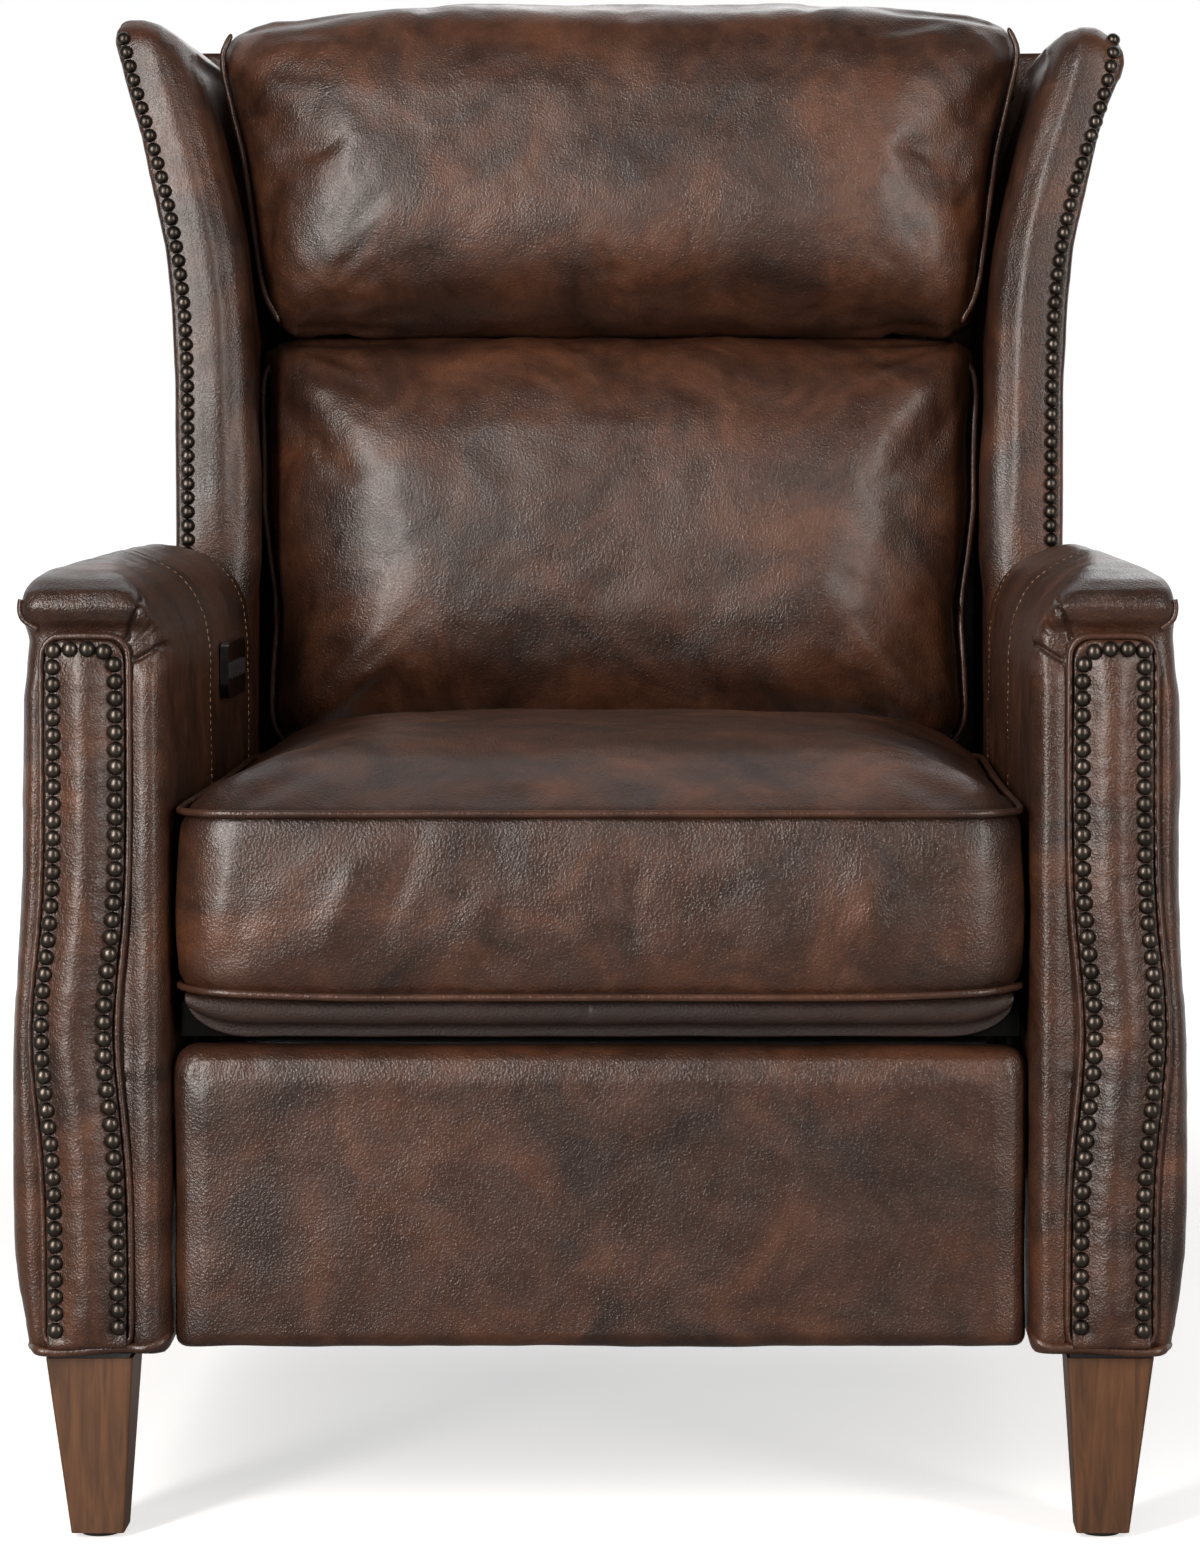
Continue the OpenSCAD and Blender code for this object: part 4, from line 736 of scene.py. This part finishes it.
# %% Headrest pillow
def down_to_the_crease(points):
    """The cords run down to the crease above the back cushion, and the pillow is a little wider there. Its
    upper corners droop, the left one more."""
    low = np.clip((0.98 - points[:, 2]) / 0.12, 0, 1)
    height = points[:, 2] - 0.021 * low ** 2 * np.clip((np.abs(points[:, 0]) - 0.22) / 0.04, 0, 1)
    share = np.clip((np.abs(points[:, 0]) - 0.18) / 0.09, 0, 1)
    spread = np.where(points[:, 0] < 0, 0.0035, 0.006) * low * share
    corners = np.interp(points[:, 0], [-0.32, -0.30, -0.26, -0.22, -0.18, -0.12, 0.18, 0.23, 0.31],
                        [-0.008, -0.009, -0.0095, -0.006, -0.003, 0, 0, -0.003, -0.003])
    height = height + corners * np.clip((points[:, 2] - 0.97) / 0.08, 0, 1)
    return np.column_stack([points[:, 0] - 0.002 + np.sign(points[:, 0]) * spread, points[:, 1], height])


pillow = net(cover("headrest_cushion", "headrest_cover"), 0.008)
pillow_seams = lines_of("headrest_piping")
relax(pillow, 0.5, 4, pillow_seams)
fill(pillow, pillow_seams, 0.008)
finer(pillow)
for seam in pillow_seams:
    press(pillow, seam, 0.0012, 0.005)
move_points(pillow, down_to_the_crease(points_of(pillow)))
draw_to(pillow, 0.11, 0.8280, False, 0.275, lambda p: np.clip((at(0, 745, 0).y - p[:, 1]) / 0.03, 0, 1))
rounded_cord("headrest_piping", "headrest", down_to_the_crease)
wrinkle(pillow, [
    (at(-300, 585, 1020), at(-262, 575, 1012), 0.0012, 0.006),
    (at(-298, 585, 1000), at(-258, 575, 996), -0.0010, 0.006),
    (at(-296, 585, 985), at(-256, 575, 978), 0.0011, 0.006), (at(-292, 585, 962), at(-250, 575, 958), -0.0010, 0.006),
    (at(-288, 585, 945), at(-246, 575, 938), 0.0010, 0.006), (at(-266, 590, 868), at(-236, 590, 878), -0.0030, 0.007),
    (at(-262, 590, 880), at(-228, 590, 893), 0.0018, 0.009), (at(266, 590, 868), at(238, 590, 880), -0.0024, 0.007),
    (at(296, 585, 980), at(262, 575, 972), 0.0010, 0.007), (at(300, 585, 1010), at(264, 575, 1004), -0.0010, 0.006)])
uneven(pillow, 0.0016, 0.07, 9.4)
# Painted shade along the pillow's lower edge, in the crease above the back cushion.
darken(pillow, [[at(-280, 640, 832), at(280, 640, 832)]], 0.020)
dressed(pillow, "headrest", cowhide, "headrest_cushion", fill_share=0.85)
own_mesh(pillow)

# %% [markdown]
# ## Nails
# One upholstery nail: a ball cut below its middle and flattened a little, 11 mm across. It is copied along
# each row, and every copy sits on the leather, found by a ray, and looks along the surface's own normal.

# %% One nail
bpy.ops.object.select_all(action="DESELECT")
bpy.ops.mesh.primitive_uv_sphere_add(segments=14, ring_count=10, radius=0.0056)
nail = bpy.context.object
nail.name = "nail"
bpy.ops.object.mode_set(mode="EDIT")
bpy.ops.mesh.select_all(action="SELECT")
bpy.ops.mesh.bisect(plane_co=(0, 0, -0.0024), plane_no=(0, 0, 1), use_fill=True, clear_inner=True)
bpy.ops.mesh.select_all(action="SELECT")
bpy.ops.transform.resize(value=(1, 1, 0.82), center_override=(0, 0, 0))
bpy.ops.object.mode_set(mode="OBJECT")
for face in nail.data.polygons:
    face.use_smooth = len(face.vertices) < 6
print("nail", len(nail.data.polygons), "faces")


def skin_of(piece):
    """A search tree over a piece's faces, for rays."""
    return BVHTree.FromPolygons([v.co for v in piece.data.vertices], [f.vertices for f in piece.data.polygons])


def land(tree, start, way=(0, 1, 0)):
    """Where a ray meets a skin, and the skin's normal there."""
    place, normal, index, length = tree.ray_cast(Vector(start), Vector(way))
    return place, normal


def row_of(seed, name, body, places, material):
    """Copies of a small piece, one at each (place, turn), joined into one piece."""
    copies = []
    for place, turn in places:
        copy = seed.copy()
        copy.data = seed.data.copy()
        bpy.context.scene.collection.objects.link(copy)
        copy.location = place
        copy.rotation_mode = "QUATERNION"
        copy.rotation_quaternion = turn
        copies.append(copy)
    bpy.ops.object.select_all(action="DESELECT")
    for copy in copies:
        copy.select_set(True)
    bpy.context.view_layer.objects.active = copies[0]
    bpy.ops.object.join()
    row = bpy.context.object
    row.name = name
    bpy.ops.object.transform_apply(location=True, rotation=True, scale=True)
    row.data.materials.clear()
    row.data.materials.append(material)
    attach(row, body)
    print(name, len(copies), "copies")
    return row


def nail_row(name, body, landings):
    """Nails on a skin, each sunk a little and looking along the skin's normal."""
    return row_of(nail, name, body, [(p + n * 0.0013, n.to_track_quat("Z", "Y")) for p, n in landings], bronze)


# %% [markdown]
# ## Front panels of the arms
# A padded board, bound with a cord. Its leather swells between two rows of nails, and each nail draws it
# down into a small dimple with fine puckers towards the middle.

# %% Front panels
BELLY_Z, BELLY_SPREAD, BELLY = 345.3, 70.1, 9.5
PANEL_IN, PANEL_OUT = 321.05, 378.55
PANEL_TOP, PANEL_FOOT = 612, 133
PITCH = 11.5
# Beside the nails the leather swells by LIFT over HALF_PANEL on both sides of its middle line.
LIFT, HALF_PANEL = 5.6, 19.5


def swing(z):
    """How far a panel's edges belly outward at a height, in mm."""
    return BELLY * math.exp(-((z - BELLY_Z) / BELLY_SPREAD) ** 2)


def drawn_in(x):
    """The leather and its cord are drawn in a little from the edge of the board, in mm from the middle."""
    return 317.2 + (x - 318.6) * 0.934


corners = (371.8, 605.2), (359.6, 606.0), (347.2, 606.0), (335.6, 604.4), (328.2, 595.8)
corner_nails = [(drawn_in(x), z) for x, z in corners]
rows = [[(drawn_in(PANEL_OUT - 6.1 + swing(z)), z) for z in (593.8 - PITCH * i for i in range(40))],
        [(drawn_in(PANEL_IN + 6.0 + swing(z)), z) for z in (584.4 - PITCH * i for i in range(39))]]
nails = corner_nails + rows[0] + rows[1]
for side, name in SIDES:
    panel = net(cover(name + "_front_panel", name + "_panel_cover"), 0.0024)
    relax(panel, 0.5, 3)
    points, normals = points_of(panel), normals_of(panel)
    points[:, 0] = side * drawn_in(points[:, 0] * side * 1000) / 1000
    x, z = points[:, 0] * side * 1000, points[:, 2] * 1000
    middle = drawn_in((PANEL_IN + PANEL_OUT) / 2) + BELLY * np.exp(-((z - BELLY_Z) / BELLY_SPREAD) ** 2)
    across = np.clip(np.abs(x - middle) / HALF_PANEL, 0, 1)
    ends = np.clip((PANEL_TOP - z) / 30, 0, 1) * np.clip((z - PANEL_FOOT) / 25, 0, 1)
    facing = np.clip(-normals[:, 1], 0, 1)
    lift = LIFT * (0.5 + 0.5 * np.cos(math.pi * across)) ** 0.8 * ends ** 0.5 * facing
    points[:, 1] -= lift * MM
    move_points(panel, points)
    tree = KDTree(len(nails))
    for index, (nx, nz) in enumerate(nails):
        tree.insert(at(side * nx, 0, nz), index)
    tree.balance()
    points, normals = points_of(panel), normals_of(panel)
    for index, p in enumerate(points):
        if normals[index][1] > -0.2:
            continue
        flat, number, away = tree.find(Vector((p[0], at(0, 0, 0).y, p[2])))
        off = away * 1000
        slope = (p[2] * 1000 - flat.z * 1000) / PITCH
        dip = 1.7 * math.exp(-(off / 6.5) ** 2)
        pucker = 0.38 * math.exp(-(off / 11) ** 2) * math.cos(2 * math.pi * slope)
        points[index][1] += (dip - pucker * (1 - math.exp(-(off / 5) ** 2))) * MM
    move_points(panel, points)
    uneven(panel, 0.0007, 0.03, side * 4.1)
    edges = [[at(side * drawn_in(x + swing(z)), 0, z) for z in range(PANEL_FOOT, PANEL_TOP, 12)]
             for x in (PANEL_OUT, PANEL_IN)]
    # Painted shade along the panel's edges and in its rows of nail dimples.
    darken(panel, edges + [[at(side * nx, 0, nz) for nx, nz in row] for row in rows], 0.004)
    dressed(panel, "chair_base", cowhide, name + "_front_panel", fill_share=0.7)
    panel_skin = skin_of(panel)
    nail_row(name + "_panel_nails", "chair_base", [land(panel_skin, at(side * nx, -60, nz)) for nx, nz in nails])


def beside_the_panel(points):
    """The cord follows the leather that was drawn in."""
    across = drawn_in(np.abs(points[:, 0]) * 1000) / 1000
    return np.column_stack([np.sign(points[:, 0]) * across, points[:, 1], points[:, 2]])


rounded_cord("panel_piping", "chair_base", beside_the_panel)

# %% [markdown]
# ## Arms
# Foam over a plywood side, drawn round with leather. The front end of the crown is boxed: a seam runs
# over its front edge, and two pleats gather the leather where the crown meets the corner of the panel.
# A topstitched seam crosses each arm, and a short one closes the border beside the footrest.

# %% Arms
bpy.ops.object.select_all(action="DESELECT")
bpy.ops.mesh.primitive_uv_sphere_add(segments=6, ring_count=5, radius=0.00065)
stitch = bpy.context.object
stitch.name = "stitch"
bpy.ops.object.mode_set(mode="EDIT")
bpy.ops.mesh.select_all(action="SELECT")
bpy.ops.transform.resize(value=(1, 1, 2.7), center_override=(0, 0, 0))
bpy.ops.object.mode_set(mode="OBJECT")


def round_the_arm(tree, side, depth):
    """Points and normals on the arm's skin at one depth, from its outer shoulder down its inner side."""
    found = []
    for angle in range(115, -12, -3):
        way = Vector((-side * math.cos(math.radians(angle)), 0, math.sin(math.radians(angle))))
        found.append(land(tree, at(side * 345, depth, 608), way))
    for z in range(596, 470, -6):
        found.append(land(tree, at(side * 345, depth, z), (-side, 0, 0)))
    return [(p, n) for p, n in found if p is not None]


def on_the_arm(tree, side, px, py):
    """Where the camera sees a pixel of the photograph on the arm. The right arm takes the mirrored ray."""
    lens = camera.data
    focal = lens.lens / lens.sensor_width * HIGH
    way = Vector(((px - WIDE / 2 + lens.shift_x * HIGH) / focal, -(py - HIGH / 2 - lens.shift_y * HIGH) / focal, -1))
    way.rotate(camera.rotation_euler)
    flip = Vector((-side, 1, 1))
    return land(tree, camera.location * flip, way * flip)[0]


def stitches(name, body, line, pitch=0.0056):
    """Stitches of equal pitch along a line of (place, normal)."""
    places, left = [], 0.0
    for (a, n), (b, m) in zip(line[:-1], line[1:]):
        length = (b - a).length
        while left < length:
            point = a.lerp(b, left / length)
            places.append((point + n * 0.0001, (b - a).to_track_quat("Z", "X")))
            left += pitch
        left -= length
    return row_of(stitch, name, body, places, thread)


# Where the photograph shows the steep and the flat pleat and the point they fan out from, in its pixels.
PLEATS = (((142, 597), (138.5, 606), (133, 619), (129, 629), (126.5, 639)),
          ((171, 643), (164, 645), (157, 648), (147, 654), (136, 660)))
FAN_X, FAN_Y = 129, 650
# How far the outer side of each arm stands out or in at rising heights, in mm.
TRIMS = {-1: [-1, -1.6, 0, 1.3, 2.7, 1.3, -3, -6, -3.6, -4, -4.7], 1: [-1, -2, 0, 2, 5.5, 4, -1, -4, -5.5, -6, -6.5]}
for side, name in SIDES:
    arm = net(cover(name + "_arm", name + "_arm_cover"), 0.0036)
    relax(arm, 0.5, 4)
    points = points_of(arm)
    heights = np.arange(130, 640, 5)
    outline = [np.max(side * points[np.abs(points[:, 2] * 1000 - h) < 4][:, 0]) for h in heights]
    padded_outline = np.concatenate([np.full(12, outline[0]), outline, np.full(12, outline[-1])])
    bell = np.exp(-(np.arange(-12, 13) / 5.0) ** 2)
    fair = np.convolve(padded_outline, bell / bell.sum(), "valid")
    shift = np.interp(points[:, 2] * 1000, heights, (fair - outline) * np.clip((615 - heights) / 60, 0, 1))
    trim = np.interp(points[:, 2] * 1000, [340, 375, 410, 438, 505, 572, 599, 612, 626, 640, 655], TRIMS[side])
    points[:, 0] += side * (shift + trim * MM) * np.clip((side * points[:, 0] - 0.335) / 0.04, 0, 1)
    normals = normals_of(arm)
    across, height = points[:, 0] * side * 1000, points[:, 2] * 1000
    roll = np.clip(1 - ((across - 303.5) / 15) ** 2, 0, 1) * np.clip((598 - height) / 14, 0, 1)
    strip = np.clip(1 - ((across - 384 - BELLY * np.exp(-((height - BELLY_Z) / BELLY_SPREAD) ** 2)) / 7) ** 2, 0, 1)
    strip *= np.clip((600 - height) / 14, 0, 1)
    facing = np.clip(-normals[:, 1], 0, 1) * np.clip((height - 126) / 10, 0, 1)
    points[:, 1] -= (5.0 * roll + 2.0 * strip) * facing * MM
    move_points(arm, points)
    box = [at(side * 289, -6, 585), at(side * 345, 34, 656)]
    low = [min(a, b) for a, b in zip(*box)]
    high = [max(a, b) for a, b in zip(*box)]
    finer_near(arm, low, high, 2)
    relax(arm, 0.5, 2)
    skin = skin_of(arm)
    seams = [round_the_arm(skin, side, 275), round_the_arm(skin, side, 538)]
    for seam in seams:
        press(arm, [p for p, n in seam], 0.0011, 0.0030)
    steep, flat = [[on_the_arm(skin, side, px, py) for px, py in pleat] for pleat in PLEATS]
    press(arm, steep, 0.0040, 0.0016)
    press(arm, flat, 0.0036, 0.0016)
    outside = [p + Vector((side * 0.0040, 0, 0)) for p in steep]
    beneath = [p - Vector((0, 0, 0.0040)) for p in flat]
    folds = [(outside[0], outside[-1], 0.0015, 0.0038), (beneath[0], beneath[-1], 0.0012, 0.0036)]
    for number, angle in enumerate((16, 25, 33, 41, 49, 57)):
        c, d = math.cos(math.radians(angle)), math.sin(math.radians(angle))
        length = 34 + 4 * math.sin(number * 2.3)
        start, end = [on_the_arm(skin, side, FAN_X + far * c, FAN_Y - far * d) for far in (13, length)]
        folds.append((start, end, 0.0005 if number % 2 else -0.0007, 0.0014))
    wrinkle(arm, folds)
    ledge = [at(side * x, 8, z) for x, z in ((324, 314.7), (310, 317.5), (296, 320.5))]
    press(arm, ledge, 0.0014, 0.0018)
    wrinkle(arm, [(ledge[0] + Vector((0, 0, 0.004)), ledge[2] + Vector((0, 0, 0.004)), 0.0010, 0.0030)])
    outer = [at(side * x, 2, z) for x, z in ((386, 648), (390, 642), (390, 634), (386, 625), (380, 616))]
    uneven(arm, 0.0008, 0.05, side * 2.3)
    # Painted shade in the seams, pleats, ledge and end welt, with some antiquing.
    darken(arm, [[p for p, n in seam] for seam in seams] + [steep, flat, ledge, outer], 0.005)
    dressed(arm, "chair_base", cowhide, name + "_arm", fill_share=0.9)
    skin = skin_of(arm)
    for number, depth in ((1, 275), (2, 538)):
        stitches(name + "_arm_stitches_" + str(number), "chair_base", round_the_arm(skin, side, depth))
    welt = [land(skin, at(side * 430, 7, z), (-side, 0, 0)) for z in (639, 635, 630, 625, 620, 615)]
    path = [p + n * 0.0010 for p, n in welt if p]
    drawn_cord(name + "_arm_end_cord", "chair_base", path, 0.0021, piping_hide)
    hem = [land(skin, at(side * 430, d, 131.5), (-side, 0, 0)) for d in (22, 14)]
    hem += [land(skin, at(side * x, -60, 131.5 + 1.6 * math.sin((x - 300) / 14))) for x in range(380, 300, -8)]
    hem += [land(skin, at(side * 250, d, 134 + 0.3 * d), (side, 0, 0)) for d in (9, 16, 24)]
    path = [p + n * (0.0012 if n.y < -0.5 else -0.0024)
            - Vector((0, 0.0035 if 318 < abs(p.x) * 1000 < 384 else 0.0005, 0)) for p, n in hem if p]
    drawn_cord(name + "_arm_hem", "chair_base", path, 0.0034, piping_hide)
bpy.data.objects.remove(stitch)

# %% [markdown]
# ## Wings
# The wings are boards with a soft front roll. The nails run close to the outer edge, head to head, and
# the leather between nails and roll shows two long soft ridges where it was pulled round the curve.

# %% Wings
for side, name in SIDES:
    wing = net(cover(name + "_wing", name + "_wing_cover"), 0.004)
    relax(wing, 0.5, 8)
    points = points_of(wing)
    across, height, depth = points[:, 0] * side * 1000, points[:, 2] * 1000, points[:, 1] * 1000 + MID
    tip = [-8, -8, -4, 2.5, 6, 4.5, -0.5, -4, -9] if side < 0 else [-8, -8, 0, 6, 5, -1, -14, -20, -26]
    rise = np.interp(across, [290, 322, 340, 356, 370, 382, 394, 400, 406], tip)
    points[:, 2] += rise * np.clip((height - 1000) / 55, 0, 1) ** 1.5 * MM
    inward = np.interp(height, [600, 650, 720, 775, 850, 1000], [0, 6.5, 6.5, 3, 1.5, 1])
    inward *= np.clip((640 - depth) / 30, 0, 1)
    points[:, 0] -= side * inward * np.clip((325 - across) / 25, 0, 1) * MM
    move_points(wing, points)
    normals = normals_of(wing)
    front = normals[:, 1] < -0.3
    outer = {}
    line = []
    heights = np.arange(655, 1074, 11.1)
    for height in heights:
        level = front & (np.abs(points[:, 2] * 1000 - height) < 5)
        edge = np.max(points[level][:, 0] * side) * 1000
        inset = 9.5 if height < 900 else 9.5 - 3.0 * (height - 900) / 180
        line.append((edge - inset, height))
    fair = np.polyfit([h for e, h in line], [e for e, h in line], 5)
    line = [(float(np.polyval(fair, h)), h) for e, h in line]
    for index in np.nonzero(front)[0]:
        p = points[index]
        height = p[2] * 1000
        row = np.interp(height, [h for e, h in line], [e for e, h in line])
        off = row - p[0] * side * 1000
        dip = 1.8 * math.exp(-(off / 6.5) ** 2)
        ridge = 1.6 * math.exp(-((off - 26) / 8) ** 2) - 1.3 * math.exp(-((off - 36) / 5) ** 2)
        fade = min(1, max(0, (height - 640) / 60))
        points[index][1] += (dip - ridge * fade) * MM
    move_points(wing, points)
    relax(wing, 0.5, 3)
    uneven(wing, 0.0007, 0.09, side * 6.7)
    # Painted shade along the row of nails.
    darken(wing, [[at(side * e, 590, h) for e, h in line]], 0.004)
    dressed(wing, "back", cowhide, name + "_wing", fill_share=0.85)
    wing_skin = skin_of(wing)
    nail_row(name + "_wing_nails", "back", [land(wing_skin, at(side * e, 400, h)) for e, h in line])
bpy.data.objects.remove(nail)

# %% [markdown]
# ## Lip, footrest and outside back
# The lip under the cushion is a thin padded strip with a seam left of its middle. Its ends curve up to the
# cushion. Its colour is painted darker downward, as painted shade under the cushion, and less so at its ends.
# The footrest is a padded board. Its leather is pulled round the upper corners, where it puckers, and it is
# painted darker all over, most under the lip, as painted shade. The outside back and the pad on top of the
# back are stretched nearly flat.

# %% Lip
lip = net(cover("seat_lip", "seat_lip_cover"), 0.0026)
relax(lip, 0.5, 2)
points = points_of(lip)
low, high = points[:, 2].min(), points[:, 2].max()
points[:, 0] *= 0.968
out = np.clip((np.abs(points[:, 0]) * 1000 - 238) / 43.5, 0, 1)
level = (high - points[:, 2]) / (high - low)
corner = np.clip((np.abs(points[:, 0]) - 0.17) / 0.11, 0, 1) ** 1.3
points[:, 2] += (1 - level) * (0.004 + 0.004 * corner) + level * 0.027 * (1 - np.sqrt(1 - out ** 2))
points[:, 1] += np.clip((at(0, 26, 0).y - points[:, 1]) / 0.008, 0, 1) * level ** 4 * 0.009
move_points(lip, points)
middle_seam = [at(-8.5, 8, z) for z in range(346, 370, 2)]
press(lip, middle_seam, 0.0012, 0.0022)
uneven(lip, 0.0005, 0.05, 3.3)
darken(lip, [middle_seam], 0.006)
points = points_of(lip)
# Painted shade: darker downward under the cushion, and less at the ends, where light reaches in.
lit = np.clip((np.abs(points[:, 0]) - 0.10) / 0.16, 0, 1)
shade = np.clip((0.370 - points[:, 2]) / 0.022, 0, 1) * 0.9 + 0.5 - 0.5 * lit
lip.data.attributes["antiquing_and_shade"].data.foreach_set("value", shade.astype(np.float32))
dressed(lip, "chair_base", shaded_hide, "seat_lip", fill_share=0.9)

# %% Footrest pad
pad = net(cover("footrest_pad", "footrest_pad_cover"), 0.0035)
relax(pad, 0.5, 3)
folds = []
for side in (-1, 1):
    for number, x in enumerate((284, 278, 271, 263, 254, 244, 233, 221)):
        deep = 0.0003 if number % 2 else -0.0004
        foot = 333 - 16 - 3 * math.sin(number * 2.1)
        folds.append((at(side * x, 16, 333), at(side * (x + 1.5), 11, foot), deep, 0.0026))
wrinkle(pad, folds)
uneven(pad, 0.0012, 0.09, 7.7)
# Painted shade: the whole pad is darkened, most along its upper edge under the lip.
upper_edge = [at(-289, 30, 334), at(289, 30, 334)]
darken(pad, [upper_edge], 0.010)
points = points_of(pad)
shade = np.clip(np.exp(-(distance_to(points, upper_edge) / 0.010) ** 1.2), 0.45, 1)
pad.data.attributes["antiquing_and_shade"].data.foreach_set("value", shade.astype(np.float32))
dressed(pad, "footrest", cowhide, "footrest_pad", fill_share=0.85)

# %% Outside back and top pad
for node, size, height in (("outside_back", 0.006, 0.0009), ("back_top_pad", 0.005, 0.0008)):
    piece = net(cover(node, node + "_cover"), size)
    relax(piece, 0.5, 2)
    if node == "back_top_pad":
        points = points_of(piece)
        points[:, 2] -= 0.014 * np.clip((np.abs(points[:, 0]) - 0.25) / 0.05, 0, 1)
        move_points(piece, points)
    uneven(piece, height, 0.12, 2.9)
    darken(piece, [], 0.02)
    dressed(piece, "back", cowhide, node, fill_share=0.9)

low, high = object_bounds()
